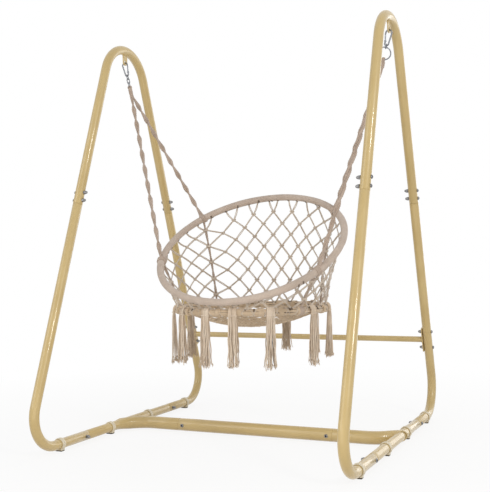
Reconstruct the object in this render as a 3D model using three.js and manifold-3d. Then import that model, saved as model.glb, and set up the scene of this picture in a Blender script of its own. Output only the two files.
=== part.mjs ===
// A two-point hammock chair: a knotted cotton net chair on two wrapped rings, hung by four
// ropes from a bent steel tube stand. Millimetres, +Z up, the sitter faces -Y, and the
// origin is on the floor under the middle of the stand.

import * as THREE from 'three';
import { mergeVertices } from 'three/addons/utils/BufferGeometryUtils.js';
import Module from 'manifold-3d';

const wasm = await Module();
wasm.setup();

// Driving dimensions of the stand
const frameSpacing = 1180;
const hoopApexHeight = 1644;
const hoopRadius = 162;
const legSplayAngle = 20.35;
const legJointHeight = 950;
const footBendRadius = 122;
const railHeight = 27;
const railJoint = 330;
const tubeDiameter = 38;
const tubeWall = 1.6;
const spigotLength = 92;
const railSpigotLength = 60;
const neckLength = 5;
const barDiameter = 51;
const barHalfLength = 340;
const barSpigotLength = 58;
const cornerBendRadius = 120;
const cornerTaperShare = 0.5;
const crossBarHeight = 354;
const crossBarDiameter = 25.4;
const crossPlateWidth = 30;
const crossPlateLength = 112;
const crossPlateThickness = 4;

// Driving dimensions of the fastenings and feet
const boltDiameter = 8;
const boltHeadDiameter = 15;
const boltHeadHeight = 5;
const nutDiameter = 15;
const nutHeight = 8;
const nutDomeHeight = 8;
const legBoltOffset = 18;
const legBoltPitch = 34;
const railBoltOffset = 24;
const barBoltOffset = 22;
const crossBoltPitch = 76;
const footOuterPlace = 505;
const footInnerPlace = 155;
const footLength = 20;
const footBand = 3.2;
const footPadWidth = 30;

// Driving dimensions of the hanging hardware
const lugWidth = 32;
const lugDrop = 45;
const lugThickness = 5;
const lugHoleDiameter = 14;
const lugHoleEdge = 8;
const hangLeanAngle = 13;
const hookWire = 6;
const hookLength = 66;
const hookTopRadius = 12;
const hookTipRadius = 7.5;
const hingeBarrelDiameter = 8.4;
const hingeSlot = 3.8;
const hingePinDiameter = 2.2;
const gateDiameter = 5.4;
const linkWire = 4;
const linkInnerLength = 18;
const linkInnerWidth = 7.4;
const shortLinkInnerLength = 13;
const ringWire = 5;
const ringInnerDiameter = 42;
const ringTwistAngle = 28;
const chainLinks = 3;

// Driving dimensions of the chair
const topRingDiameter = 772;
const topRingHeight = 778;
const topRingTiltAngle = 34;
const topRingThickness = 28;
const seatRingDiameter = 600;
const seatRingHeight = 522;
const seatRingThickness = 27;
const ropeDiameter = 18;
const ropeEyeCord = 6;
const ropeEyeRadius = 7;
const ropeKnotLength = 60;
const knotShare = 0.75;
const ribDiameter = 13;
const hitchLength = 18;
const hitchThickness = 4;
const netCordWidth = 8;
const netCordThickness = 5;
const netWaistShare = 0.027;
const seatSag = 72;
const seatNetCordWidth = 7;
const seatNetCordThickness = 5;
const seatNetCentreRadius = 30;
const seatNetTurnAngle = 2.5;
const tasselLength = 205;
const tasselWidth = 38;
const tasselDepth = 24;
const tasselFlare = 9;
const tasselBandWidth = 26;
const tasselBandThickness = 7;

// Angles round the rings, in degrees from +X toward the back
const frontLeftRopeAngle = 195.3;
const rearLeftRopeAngle = 143.9;
const rearRightRopeAngle = 41;
const frontRightRopeAngle = -29;

// Clearances
const fitGap = 0.3;
const boltClearance = 0.3;

// Facets and steps
const ribSteps = 3;
const runStepAngle = 1;
const riseStepShare = 0.02;
const tubeSides = 10;
const cordSides = 8;
const wireSides = 6;
const bendSteps = 5;
const hookSteps = 6;
const hoopSteps = 8;
const lugSteps = 6;
const footSteps = 4;
const linkSteps = 4;
const ringSteps = 16;
const tasselSteps = 3;
const topRingSteps = 32;
const seatRingSteps = 28;

// Sizes worked out from those above
const fullTurnAngle = 360;
const radians = (2 * Math.PI) / fullTurnAngle;
const tubeRadius = tubeDiameter / 2;
const tubeBore = tubeRadius - tubeWall;
const spigotRadius = tubeBore - fitGap;
const barRadius = barDiameter / 2;
const barSpigotRadius = barRadius - tubeWall - fitGap;
const frameX = frameSpacing / 2;
const splay = legSplayAngle * radians;
const hoopCentreHeight = hoopApexHeight - hoopRadius;
const hoopTangent = {
  y: hoopRadius * Math.cos(splay),
  z: hoopCentreHeight + hoopRadius * Math.sin(splay),
};
const lugBottom = hoopApexHeight - tubeRadius - lugDrop;
const lugHoleHeight = lugBottom + lugHoleEdge + lugHoleDiameter / 2;
const lean = hangLeanAngle * radians;
const hookInside = hookTopRadius - hookWire / 2;
const hookCurl = hookInside - Math.sqrt(hookInside ** 2 - lugThickness ** 2 / 4);
const hookFacet = hookTopRadius * (1 - Math.cos(Math.PI / hookSteps / 2));
const swingHeight = lugBottom + lugHoleEdge + hookWire / 2 + fitGap + hookCurl + hookFacet;
const topRingRadius = topRingDiameter / 2;
const topRingTube = topRingThickness / 2;
const seatRingRadius = seatRingDiameter / 2;
const seatRingTube = seatRingThickness / 2;

const sides = [
  { name: 'left', x: -1 },
  { name: 'right', x: 1 },
];
const ends = [
  { name: 'front', y: -1 },
  { name: 'rear', y: 1 },
];

const paint = { color: 0xc8a96b, roughness: 0.32, metalness: 0.2 };
const zinc = { color: 0xb9bcc0, roughness: 0.35, metalness: 0.9 };
const plastic = { color: 0xc3a978, roughness: 0.55, metalness: 0 };
const cotton = { color: 0xc4b2a3, roughness: 0.95, metalness: 0 };

// Direction helpers

const axisX = new THREE.Vector3(1, 0, 0);
const axisY = new THREE.Vector3(0, 1, 0);
const axisZ = new THREE.Vector3(0, 0, 1);

function point(x, y, z) {
  return new THREE.Vector3(x, y, z);
}

function legY(z) {
  return hoopTangent.y + (hoopTangent.z - z) * Math.tan(splay);
}

// Solids and cuts

function closedGeometry(positions, faces) {
  const geometry = new THREE.BufferGeometry();
  geometry.setAttribute('position', new THREE.Float32BufferAttribute(positions, 3));
  geometry.setIndex(faces);
  return geometry;
}

function toSolid(geometry) {
  const bare = geometry.clone();
  bare.deleteAttribute('normal');
  bare.deleteAttribute('uv');
  const merged = mergeVertices(bare);
  const mesh = new wasm.Mesh({
    numProp: 3,
    vertProperties: new Float32Array(merged.attributes.position.array),
    triVerts: new Uint32Array(merged.index.array),
  });
  return new wasm.Manifold(mesh);
}

function toGeometry(solid) {
  const mesh = solid.getMesh();
  const positions = [];
  for (let v = 0; v < mesh.vertProperties.length; v += mesh.numProp) {
    positions.push(...mesh.vertProperties.slice(v, v + 3));
  }
  return closedGeometry(positions, Array.from(mesh.triVerts));
}

function subtractAll(solid, cutters) {
  return cutters.reduce((left, cutter) => left.subtract(cutter), solid);
}

function addAll(solid, additions) {
  return additions.reduce((sum, addition) => sum.add(addition), solid);
}

// Only the part of a trimmed piece that lies outside its neighbour is kept.
function largestPiece(solid) {
  const pieces = solid.decompose();
  return pieces.reduce((best, piece) => (piece.volume() > best.volume() ? piece : best));
}

function cylinderBetween(from, to, radius, count, radiusTo = radius) {
  const span = to.clone().sub(from);
  const geometry = new THREE.CylinderGeometry(radiusTo, radius, span.length(), count);
  const turn = new THREE.Quaternion().setFromUnitVectors(axisY, span.clone().normalize());
  geometry.applyQuaternion(turn);
  const middle = from.clone().add(to).multiplyScalar(0.5);
  return geometry.translate(middle.x, middle.y, middle.z);
}

// Routes with round bends, and tubes along them

function bentRoute(corners, bendRadius, steps) {
  const stations = [];
  const first = corners[1].clone().sub(corners[0]).normalize();
  stations.push({ at: corners[0].clone(), along: first });
  for (let c = 1; c < corners.length - 1; c += 1) {
    const inward = corners[c].clone().sub(corners[c - 1]).normalize();
    const outward = corners[c + 1].clone().sub(corners[c]).normalize();
    const turn = inward.angleTo(outward);
    const setback = bendRadius * Math.tan(turn / 2);
    const start = corners[c].clone().addScaledVector(inward, -setback);
    const side = outward.clone().addScaledVector(inward, -Math.cos(turn)).normalize();
    for (let k = 0; k <= steps; k += 1) {
      const angle = (turn * k) / steps;
      const at = start.clone();
      at.addScaledVector(inward, bendRadius * Math.sin(angle));
      at.addScaledVector(side, bendRadius * (1 - Math.cos(angle)));
      const along = inward.clone().multiplyScalar(Math.cos(angle));
      along.addScaledVector(side, Math.sin(angle));
      stations.push({ at, along });
    }
  }
  const last = corners[corners.length - 1];
  const end = last.clone().sub(corners[corners.length - 2]).normalize();
  stations.push({ at: last.clone(), along: end });
  return measured(stations);
}

function measured(stations) {
  let distance = 0;
  stations.forEach((station, k) => {
    if (k > 0) {
      distance += station.at.distanceTo(stations[k - 1].at);
    }
    station.distance = distance;
  });
  return stations;
}

function routeLength(route) {
  return route[route.length - 1].distance;
}

function stationAt(route, distance) {
  const next = route.findIndex((station) => station.distance >= distance);
  if (next <= 0) {
    return { ...route[Math.max(next, 0)] };
  }
  const before = route[next - 1];
  const after = route[next];
  const share = (distance - before.distance) / (after.distance - before.distance);
  const at = before.at.clone().lerp(after.at, share);
  const along = before.along.clone().lerp(after.along, share).normalize();
  return { at, along, distance };
}

// A profile is a list of places along a route, each with its outer radius and its bore.
function level(distance, radius) {
  return { distance, outer: radius, bore: radius - tubeWall };
}

// Beside a step in the outer radius, the bore widens over one neck length.
function stepUp(distance, small, large) {
  return [
    level(distance, small),
    { distance: distance + fitGap, outer: large, bore: small - tubeWall },
    level(distance + neckLength, large),
  ];
}

function stepDown(distance, large, small) {
  return [
    level(distance - neckLength, large),
    { distance: distance - fitGap, outer: large, bore: small - tubeWall },
    level(distance, small),
  ];
}

function plainProfile(route, radius) {
  return [level(0, radius), level(routeLength(route), radius)];
}

function radiiAt(profile, distance) {
  const next = profile.findIndex((entry) => entry.distance >= distance);
  if (next <= 0) {
    return profile[next < 0 ? profile.length - 1 : 0];
  }
  const before = profile[next - 1];
  const after = profile[next];
  const share = (distance - before.distance) / (after.distance - before.distance);
  const outer = before.outer + (after.outer - before.outer) * share;
  return { outer, bore: before.bore + (after.bore - before.bore) * share };
}

// A tube, or a solid rod, swept along a flat route. Its first edge line is turned from the
// direction across that plane by the given angle.
function tubeAlong(route, across, profile, hollow, count, turned = 0) {
  const distances = [...route, ...profile].map((entry) => entry.distance);
  distances.sort((a, b) => a - b);
  const kept = distances.filter((d, k) => k === 0 || d - distances[k - 1] > fitGap / 2);
  const positions = [];
  const faces = [];
  kept.forEach((distance) => {
    const { at, along } = stationAt(route, distance);
    const upward = along.clone().cross(across);
    const { outer, bore } = radiiAt(profile, distance);
    for (const radius of hollow ? [outer, bore] : [outer]) {
      for (let m = 0; m < count; m += 1) {
        const angle = turned + (2 * Math.PI * m) / count;
        const spot = at.clone().addScaledVector(across, radius * Math.cos(angle));
        spot.addScaledVector(upward, radius * Math.sin(angle));
        positions.push(spot.x, spot.y, spot.z);
      }
    }
  });
  const stride = hollow ? 2 * count : count;
  for (let k = 0; k + 1 < kept.length; k += 1) {
    for (let m = 0; m < count; m += 1) {
      const n = (m + 1) % count;
      const here = k * stride;
      const there = here + stride;
      faces.push(here + m, here + n, there + n, here + m, there + n, there + m);
      if (hollow) {
        const inHere = here + count;
        const inThere = there + count;
        faces.push(inHere + n, inHere + m, inThere + m);
        faces.push(inHere + n, inThere + m, inThere + n);
      }
    }
  }
  const tail = (kept.length - 1) * stride;
  for (let m = 0; m < count; m += 1) {
    const n = (m + 1) % count;
    if (hollow) {
      faces.push(n, m, count + m, n, count + m, count + n);
      faces.push(tail + m, tail + n, tail + count + n);
      faces.push(tail + m, tail + count + n, tail + count + m);
    } else if (m > 0 && n > 0) {
      faces.push(0, n, m, tail, tail + m, tail + n);
    }
  }
  return closedGeometry(positions, faces);
}

// Stand tubes have an edge line along their horizontal sides, so that their spigots fit.
function uprightTube(route, profile, hollow) {
  return toSolid(tubeAlong(route, axisX, profile, hollow, tubeSides));
}

function levelTube(route, profile, hollow) {
  return toSolid(tubeAlong(route, axisZ, profile, hollow, tubeSides, Math.PI / 2));
}

function boltHole(centre, axis, reach) {
  const radius = boltDiameter / 2 + boltClearance;
  const from = centre.clone().addScaledVector(axis, -reach);
  const to = centre.clone().addScaledVector(axis, reach);
  return toSolid(cylinderBetween(from, to, radius, wireSides));
}

// Places of the bolts

function legBoltPlaces(side, end) {
  return ['upper', 'lower'].map((name, k) => {
    const rise = legBoltOffset + (k === 0 ? legBoltPitch : 0);
    const z = legJointHeight + rise * Math.cos(splay);
    return { name, at: point(side.x * frameX, end.y * legY(z), z) };
  });
}

function railBoltPlace(side, end) {
  return point(side.x * frameX, end.y * (railJoint + railBoltOffset), railHeight);
}

function barBoltPlace(side) {
  return point(side.x * (barHalfLength - barBoltOffset), 0, railHeight);
}

function crossBoltPlaces(side) {
  return ['upper', 'lower'].map((name, k) => {
    const z = crossBarHeight + (k === 0 ? 0.5 : -0.5) * crossBoltPitch * Math.cos(splay);
    return { name, at: point(side.x * frameX, legY(z), z) };
  });
}

// Stand: upper hoop with its welded lug

function lugPlate(side) {
  const outline = new THREE.Shape();
  const half = lugWidth / 2;
  const top = hoopApexHeight;
  outline.moveTo(-half, top);
  outline.lineTo(-half, lugBottom + half);
  outline.absarc(0, lugBottom + half, half, Math.PI, 2 * Math.PI, false);
  outline.lineTo(half, top);
  const hole = new THREE.Path();
  hole.absarc(0, lugHoleHeight, lugHoleDiameter / 2, 0, 2 * Math.PI, true);
  outline.holes.push(hole);
  const geometry = new THREE.ExtrudeGeometry(outline, {
    depth: lugThickness,
    bevelEnabled: false,
    curveSegments: lugSteps,
  });
  geometry.rotateX(Math.PI / 2);
  geometry.rotateZ(Math.PI / 2);
  return geometry.translate(side.x * frameX - lugThickness / 2, 0, 0);
}

function hoop(side) {
  const x = side.x * frameX;
  const apex = hoopTangent.z + hoopTangent.y / Math.tan(splay);
  const corners = [
    point(x, -legY(legJointHeight), legJointHeight),
    point(x, 0, apex),
    point(x, legY(legJointHeight), legJointHeight),
  ];
  const route = bentRoute(corners, hoopRadius, hoopSteps);
  const profile = plainProfile(route, tubeRadius);
  const tube = uprightTube(route, profile, true);
  const full = uprightTube(route, profile, false);
  const lug = toSolid(lugPlate(side)).subtract(full);
  const holes = ends.flatMap((end) => legBoltPlaces(side, end))
    .map((place) => boltHole(place.at, axisX, tubeDiameter));
  return toGeometry(subtractAll(tube.add(largestPiece(lug)), holes));
}

// Stand: lower leg, bent into its foot rail

function lowerLeg(side, end) {
  const x = side.x * frameX;
  const top = legJointHeight + spigotLength * Math.cos(splay);
  const corners = [
    point(x, end.y * legY(top), top),
    point(x, end.y * legY(railHeight), railHeight),
    point(x, end.y * railJoint, railHeight),
  ];
  const route = bentRoute(corners, footBendRadius, bendSteps);
  const profile = [
    level(0, spigotRadius),
    ...stepUp(spigotLength + fitGap, spigotRadius, tubeRadius),
    level(routeLength(route), tubeRadius),
  ];
  const tube = uprightTube(route, profile, true);
  const places = legBoltPlaces(side, end).map((place) => place.at);
  places.push(railBoltPlace(side, end));
  if (end.name === 'rear') {
    places.push(...crossBoltPlaces(side).map((place) => place.at));
  }
  const holes = places.map((at) => boltHole(at, axisX, tubeDiameter));
  return toGeometry(subtractAll(tube, holes));
}

// Stand: base corner, a bent bar end with a welded stub for the other foot rail

function baseCorner(side) {
  const x = side.x * frameX;
  const bendEnd = side.name === 'left' ? ends[0] : ends[1];
  const tip = railJoint + railSpigotLength;
  const barTip = barHalfLength - barSpigotLength;
  const corners = [
    point(x, bendEnd.y * tip, railHeight),
    point(x, 0, railHeight),
    point(side.x * barTip, 0, railHeight),
  ];
  const route = bentRoute(corners, cornerBendRadius, bendSteps);
  const whole = routeLength(route);
  const bendStart = tip - cornerBendRadius;
  const bendLength = (cornerBendRadius * Math.PI) / 2;
  const stubReach = (bendEnd.y * cornerBendRadius) / 2;
  const spigot = [
    level(0, spigotRadius),
    ...stepUp(railSpigotLength + fitGap, spigotRadius, tubeRadius),
  ];
  const profile = [
    ...spigot,
    level(bendStart, tubeRadius),
    level(bendStart + bendLength * cornerTaperShare, barRadius),
    ...stepDown(whole - barSpigotLength - fitGap, barRadius, barSpigotRadius),
    level(whole, barSpigotRadius),
  ];
  const tube = levelTube(route, profile, true);
  const full = levelTube(route, profile, false);

  const stubEnds = [point(x, -bendEnd.y * tip, railHeight), point(x, stubReach, railHeight)];
  const stubRoute = measured(stubEnds.map((at) => ({ at, along: point(0, bendEnd.y, 0) })));
  const stubProfile = [...spigot, level(routeLength(stubRoute), tubeRadius)];
  const stub = uprightTube(stubRoute, stubProfile, true);
  const trimmed = largestPiece(stub.subtract(full));

  const holes = ends.map((end) => boltHole(railBoltPlace(side, end), axisX, tubeDiameter));
  holes.push(boltHole(barBoltPlace(side), axisY, barDiameter));
  return toGeometry(subtractAll(tube.add(trimmed), holes));
}

function baseBar() {
  const from = point(-barHalfLength, 0, railHeight);
  const to = point(barHalfLength, 0, railHeight);
  const route = measured([from, to].map((at) => ({ at, along: axisX.clone() })));
  const profile = plainProfile(route, barRadius);
  const tube = levelTube(route, profile, true);
  const holes = sides.map((side) => boltHole(barBoltPlace(side), axisY, barDiameter));
  return toGeometry(subtractAll(tube, holes));
}

// Stand: thin cross bar between the rear legs, with a welded plate at each end

function crossBar() {
  const reach = frameX - tubeRadius - fitGap;
  const inner = reach - crossPlateThickness;
  const y = legY(crossBarHeight);
  const from = point(-inner, y, crossBarHeight);
  const to = point(inner, y, crossBarHeight);
  const route = measured([from, to].map((at) => ({ at, along: axisX.clone() })));
  const profile = plainProfile(route, crossBarDiameter / 2);
  let bar = levelTube(route, profile, false);
  for (const side of sides) {
    const plate = new THREE.BoxGeometry(crossPlateThickness, crossPlateWidth, crossPlateLength);
    plate.rotateX(splay);
    plate.translate(side.x * (reach - crossPlateThickness / 2), y, crossBarHeight);
    const holes = crossBoltPlaces(side).map((place) => boltHole(place.at, axisX, tubeDiameter));
    bar = bar.add(subtractAll(toSolid(plate), holes));
  }
  return toGeometry(bar);
}

// Feet: a band round the rail with a flat pad under it

function footRing(side, end, place) {
  const hole = tubeRadius + fitGap;
  const outer = hole + footBand;
  const half = footPadWidth / 2;
  const shoulder = Math.asin(half / outer);
  const outline = new THREE.Shape();
  outline.moveTo(-half, -railHeight);
  outline.lineTo(half, -railHeight);
  outline.absarc(0, 0, outer, shoulder - Math.PI / 2, 1.5 * Math.PI - shoulder, false);
  const bore = new THREE.Path();
  for (let m = 0; m <= tubeSides; m += 1) {
    const angle = (-2 * Math.PI * m) / tubeSides;
    const x = hole * Math.cos(angle);
    const z = hole * Math.sin(angle);
    if (m === 0) {
      bore.moveTo(x, z);
    } else {
      bore.lineTo(x, z);
    }
  }
  outline.holes.push(bore);
  const geometry = new THREE.ExtrudeGeometry(outline, {
    depth: footLength,
    bevelEnabled: false,
    curveSegments: footSteps,
  });
  geometry.translate(0, 0, -footLength / 2);
  geometry.rotateX(Math.PI / 2);
  return geometry.translate(side.x * frameX, end.y * place, railHeight);
}

// Fasteners: head, shank and domed nut, turned about the bolt's axis

function bolt(at, axis, headReach, nutReach) {
  const shank = boltDiameter / 2;
  const head = headReach + boltHeadHeight;
  const outline = [
    [0, head],
    [boltHeadDiameter / 2, head],
    [boltHeadDiameter / 2, headReach],
    [shank, headReach],
    [shank, -nutReach],
    [nutDiameter / 2, -nutReach],
    [nutDiameter / 2, -nutReach - nutHeight],
    [0, -nutReach - nutHeight - nutDomeHeight],
  ];
  const profile = outline.map(([r, h]) => new THREE.Vector2(r, h)).reverse();
  const geometry = new THREE.LatheGeometry(profile, wireSides);
  const turn = new THREE.Quaternion().setFromUnitVectors(axisY, axis);
  return geometry.applyQuaternion(turn).translate(at.x, at.y, at.z);
}

// Hanging hardware. Each piece is drawn hanging below the centre of the hook's top arc, in
// the XZ plane with the gate toward +X, and is then leaned with the ropes.

function hookPlan() {
  const wire = hookWire / 2;
  const top = hookTopRadius;
  const tip = hookTipRadius;
  const tipCentre = top + tip - (hookLength - hookWire);
  const flank = Math.asin((tip - top) / tipCentre);
  const hinge = {
    x: tip * Math.cos(flank),
    z: tipCentre + tip * Math.sin(flank) + tip,
  };
  const nose = {
    x: top * Math.cos(flank),
    z: top * Math.sin(flank) - tip,
  };
  return { wire, top, tip, tipCentre, flank, hinge, nose };
}

function arcStations(centreZ, radius, fromAngle, toAngle, steps) {
  const stations = [];
  for (let k = 0; k <= steps; k += 1) {
    const angle = fromAngle + ((toAngle - fromAngle) * k) / steps;
    const at = point(radius * Math.cos(angle), 0, centreZ + radius * Math.sin(angle));
    stations.push({ at, along: point(-Math.sin(angle), 0, Math.cos(angle)) });
  }
  return stations;
}

function snapHook() {
  const plan = hookPlan();
  const { flank, hinge, nose } = plan;
  const slope = point(nose.x - hinge.x, 0, nose.z - hinge.z).normalize();
  const stations = [
    { at: point(nose.x, 0, nose.z), along: slope.clone() },
    ...arcStations(0, plan.top, flank, Math.PI - flank, hookSteps),
    ...arcStations(plan.tipCentre, plan.tip, Math.PI - flank, 2 * Math.PI + flank, hookSteps),
    { at: point(hinge.x, 0, hinge.z), along: slope.clone() },
  ];
  const route = measured(stations);
  const across = axisY.clone();
  const profile = plainProfile(route, plan.wire);
  const body = toSolid(tubeAlong(route, across, profile, false, wireSides));
  const half = hookWire / 2 + fitGap;
  const barrelFrom = point(hinge.x, -half, hinge.z);
  const barrelTo = point(hinge.x, half, hinge.z);
  const barrel = toSolid(cylinderBetween(barrelFrom, barrelTo, hingeBarrelDiameter / 2, cordSides));
  const slot = new THREE.BoxGeometry(hingeBarrelDiameter * 2, hingeSlot, hingeBarrelDiameter * 2);
  slot.translate(hinge.x, 0, hinge.z + hingeBarrelDiameter / 2);
  const pin = toSolid(cylinderBetween(barrelFrom, barrelTo, hingePinDiameter / 2, wireSides));
  return toGeometry(body.add(barrel).subtract(toSolid(slot)).add(pin));
}

function hookGate() {
  const { hinge, nose } = hookPlan();
  const slope = point(nose.x - hinge.x, 0, nose.z - hinge.z);
  const reach = slope.length() - 2 * fitGap;
  slope.normalize();
  const pivot = point(hinge.x, 0, hinge.z);
  const rodStart = pivot.clone().addScaledVector(slope, hingeBarrelDiameter / 2 + fitGap);
  const rodEnd = pivot.clone().addScaledVector(slope, reach);
  const rod = toSolid(cylinderBetween(rodStart, rodEnd, gateDiameter / 2, wireSides));
  const half = hingeSlot / 2 - fitGap;
  const eyeFrom = point(hinge.x, -half, hinge.z);
  const eyeTo = point(hinge.x, half, hinge.z);
  const eyeRadius = hingeBarrelDiameter / 2 - 2 * fitGap;
  const eye = toSolid(cylinderBetween(eyeFrom, eyeTo, eyeRadius, cordSides));
  const tongue = new THREE.BoxGeometry(gateDiameter, 2 * half, hingeBarrelDiameter);
  tongue.translate(0, 0, hingeBarrelDiameter / 2);
  tongue.applyQuaternion(new THREE.Quaternion().setFromUnitVectors(axisZ, slope));
  tongue.translate(hinge.x, 0, hinge.z);
  const boreFrom = point(hinge.x, -hingeBarrelDiameter, hinge.z);
  const boreTo = point(hinge.x, hingeBarrelDiameter, hinge.z);
  const boreRadius = hingePinDiameter / 2 + fitGap;
  const bore = toSolid(cylinderBetween(boreFrom, boreTo, boreRadius, wireSides));
  return toGeometry(rod.add(eye).add(toSolid(tongue)).subtract(bore));
}

// A link is a closed wire loop whose top inner end sits at the given depth below the axis.
function chainLink(depth, innerLength, innerWidth, wireDiameter, turned) {
  const wire = wireDiameter / 2;
  const radius = innerWidth / 2 + wire;
  const upper = -(depth + innerWidth / 2);
  const lower = -(depth + innerLength - innerWidth / 2);
  const stations = [
    ...arcStations(upper, radius, 0, Math.PI, linkSteps),
    ...arcStations(lower, radius, Math.PI, 2 * Math.PI, linkSteps),
  ];
  const geometry = closedLoop(stations, axisY, wire, wireSides);
  return turned ? geometry.rotateZ(Math.PI / 2) : geometry;
}

function steelRing() {
  const radius = (ringInnerDiameter + ringWire) / 2;
  const centre = -(ringDepth + ringInnerDiameter / 2);
  const stations = arcStations(centre, radius, 0, 2 * Math.PI, ringSteps).slice(1);
  return closedLoop(stations, axisY, ringWire / 2, wireSides).rotateZ(ringTwistAngle * radians);
}

function closedLoop(stations, across, radius, count) {
  const positions = [];
  const faces = [];
  stations.forEach(({ at, along }, k) => {
    const upward = along.clone().cross(across);
    for (let m = 0; m < count; m += 1) {
      const angle = (2 * Math.PI * m) / count;
      const spot = at.clone().addScaledVector(across, radius * Math.cos(angle));
      spot.addScaledVector(upward, radius * Math.sin(angle));
      positions.push(spot.x, spot.y, spot.z);
      const n = (m + 1) % count;
      const here = k * count;
      const there = ((k + 1) % stations.length) * count;
      faces.push(here + m, here + n, there + n, here + m, there + n, there + m);
    }
  });
  return closedGeometry(positions, faces);
}

// Depths below the centre of the hook's top arc, down each hanging line
const hookTipDepth = hookLength - hookWire - hookTopRadius;
const firstLinkDepth = hookTipDepth - hookWire / 2 - fitGap;
const linkStep = linkInnerLength - fitGap;
const chainDepth = firstLinkDepth + chainLinks * linkStep - fitGap;
const ringDepth = firstLinkDepth + shortLinkInnerLength - 2 * fitGap;
const eyeDepth = { left: chainDepth, right: ringDepth + ringInnerDiameter - 2 * fitGap };

// Chair rings

// The rings are drawn as many short straight runs, and what seats on them follows the runs.
function inRuns(exact, count) {
  const pitch = fullTurnAngle / count;
  return (angle) => {
    const run = Math.floor(angle / pitch);
    return exact(run * pitch).lerp(exact((run + 1) * pitch), angle / pitch - run);
  };
}

function roundTopRing(angle) {
  const a = angle * radians;
  const back = topRingRadius * Math.sin(a);
  const tilt = topRingTiltAngle * radians;
  const x = topRingRadius * Math.cos(a);
  return point(x, back * Math.cos(tilt), topRingHeight + back * Math.sin(tilt));
}

function roundSeatRing(angle) {
  const a = angle * radians;
  return point(seatRingRadius * Math.cos(a), seatRingRadius * Math.sin(a), seatRingHeight);
}

const topRingPoint = inRuns(roundTopRing, topRingSteps);
const seatRingPoint = inRuns(roundSeatRing, seatRingSteps);

function wrappedRing(ringPoint, tube, count) {
  const stations = [];
  for (let k = 0; k < count; k += 1) {
    const angle = (fullTurnAngle * k) / count;
    const step = ringPoint(angle + 1).sub(ringPoint(angle - 1)).normalize();
    stations.push({ at: ringPoint(angle), along: step });
  }
  const across = ringPoint(0).sub(ringPoint(180)).cross(ringPoint(90).sub(ringPoint(270)));
  return closedLoop(stations, across.normalize(), tube, cordSides);
}

function topRing(clearance = 0) {
  return wrappedRing(topRingPoint, topRingTube + clearance, topRingSteps);
}

function seatRing(clearance = 0) {
  return wrappedRing(seatRingPoint, seatRingTube + clearance, seatRingSteps);
}

// What is knotted round the rings is cut to leave them room.
const ringClearance = fitGap / Math.cos(Math.PI / cordSides);
const ringSpaces = [toSolid(topRing(ringClearance)), toSolid(seatRing(ringClearance))];

// Ropes: on each side one doubled rope, with an eye at its top, a knot under it, and two
// legs. Each leg is hitched round the top ring and runs on as a rib to the seat ring.

function hangerMatrix(side) {
  const turn = new THREE.Matrix4().makeRotationZ(side.name === 'left' ? 0 : Math.PI);
  const leaned = new THREE.Matrix4().makeRotationY(-lean);
  const height = swingHeight - hookTopRadius;
  const place = new THREE.Matrix4().makeTranslation(side.x * frameX, 0, height);
  return place.multiply(turn).multiply(leaned);
}

function hangPoint(side, depth) {
  return point(0, 0, -depth).applyMatrix4(hangerMatrix(side));
}

function ropeEye(side) {
  const top = eyeDepth[side.name] + ropeEyeRadius - ropeEyeCord / 2;
  const stations = arcStations(-top, ropeEyeRadius, 0, 2 * Math.PI, cordSides);
  const eye = closedLoop(stations.slice(0, -1), axisY, ropeEyeCord / 2, wireSides);
  if (side.name === 'right') {
    eye.rotateZ(Math.PI / 2);
  }
  return toSolid(eye.applyMatrix4(hangerMatrix(side)));
}

function hitch(ringPoint, angle, tube) {
  const centre = ringPoint(angle);
  const step = ringPoint(angle + 1).sub(ringPoint(angle - 1)).normalize();
  const from = centre.clone().addScaledVector(step, -hitchLength / 2);
  const to = centre.clone().addScaledVector(step, hitchLength / 2);
  return toSolid(cylinderBetween(from, to, tube + ringClearance + hitchThickness, cordSides));
}

function ribSolid(angle) {
  const stations = [];
  for (let k = 0; k <= ribSteps; k += 1) {
    const rise = k / ribSteps;
    const next = netPoint(angle, rise + riseStepShare);
    const along = next.sub(netPoint(angle, rise - riseStepShare)).normalize();
    stations.push({ at: netPoint(angle, rise), along });
  }
  const route = measured(stations);
  const sideways = point(-Math.sin(angle * radians), Math.cos(angle * radians), 0);
  const across = sideways.projectOnPlane(route[0].along).normalize();
  const profile = plainProfile(route, ribDiameter / 2);
  return toSolid(tubeAlong(route, across, profile, false, cordSides));
}

function ropes(side) {
  const angles = side.name === 'left'
    ? [frontLeftRopeAngle, rearLeftRopeAngle]
    : [frontRightRopeAngle, rearRightRopeAngle];
  const knotTop = eyeDepth[side.name] + 2 * ropeEyeRadius - ropeEyeCord;
  const from = hangPoint(side, knotTop);
  const to = hangPoint(side, knotTop + ropeKnotLength);
  const small = ropeEyeCord / 2;
  const knot = toSolid(cylinderBetween(from, to, small, cordSides, ropeDiameter * knotShare));
  let solid = ropeEye(side).add(knot);
  for (const angle of angles) {
    const leg = cylinderBetween(to, topRingPoint(angle), ropeDiameter / 2, cordSides);
    const onTop = hitch(topRingPoint, angle, topRingTube);
    const onSeat = hitch(seatRingPoint, angle, seatRingTube);
    solid = addAll(solid, [toSolid(leg), onTop, onSeat, ribSolid(angle)]);
  }
  return toGeometry(largestPiece(subtractAll(solid, ringSpaces)));
}

// Net panels. Each is one lattice of crossing cords between the two rings. Knots stand
// where column plus row is even, and every cord between two knots has a ridge on its face
// and on its back, so that it is thickest along its middle.

// The sine of the angle between a direction and a ring's run.
function slant(direction, ringPoint, angle) {
  const run = ringPoint(angle + runStepAngle).sub(ringPoint(angle - runStepAngle)).normalize();
  return direction.clone().cross(run).length();
}

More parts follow.
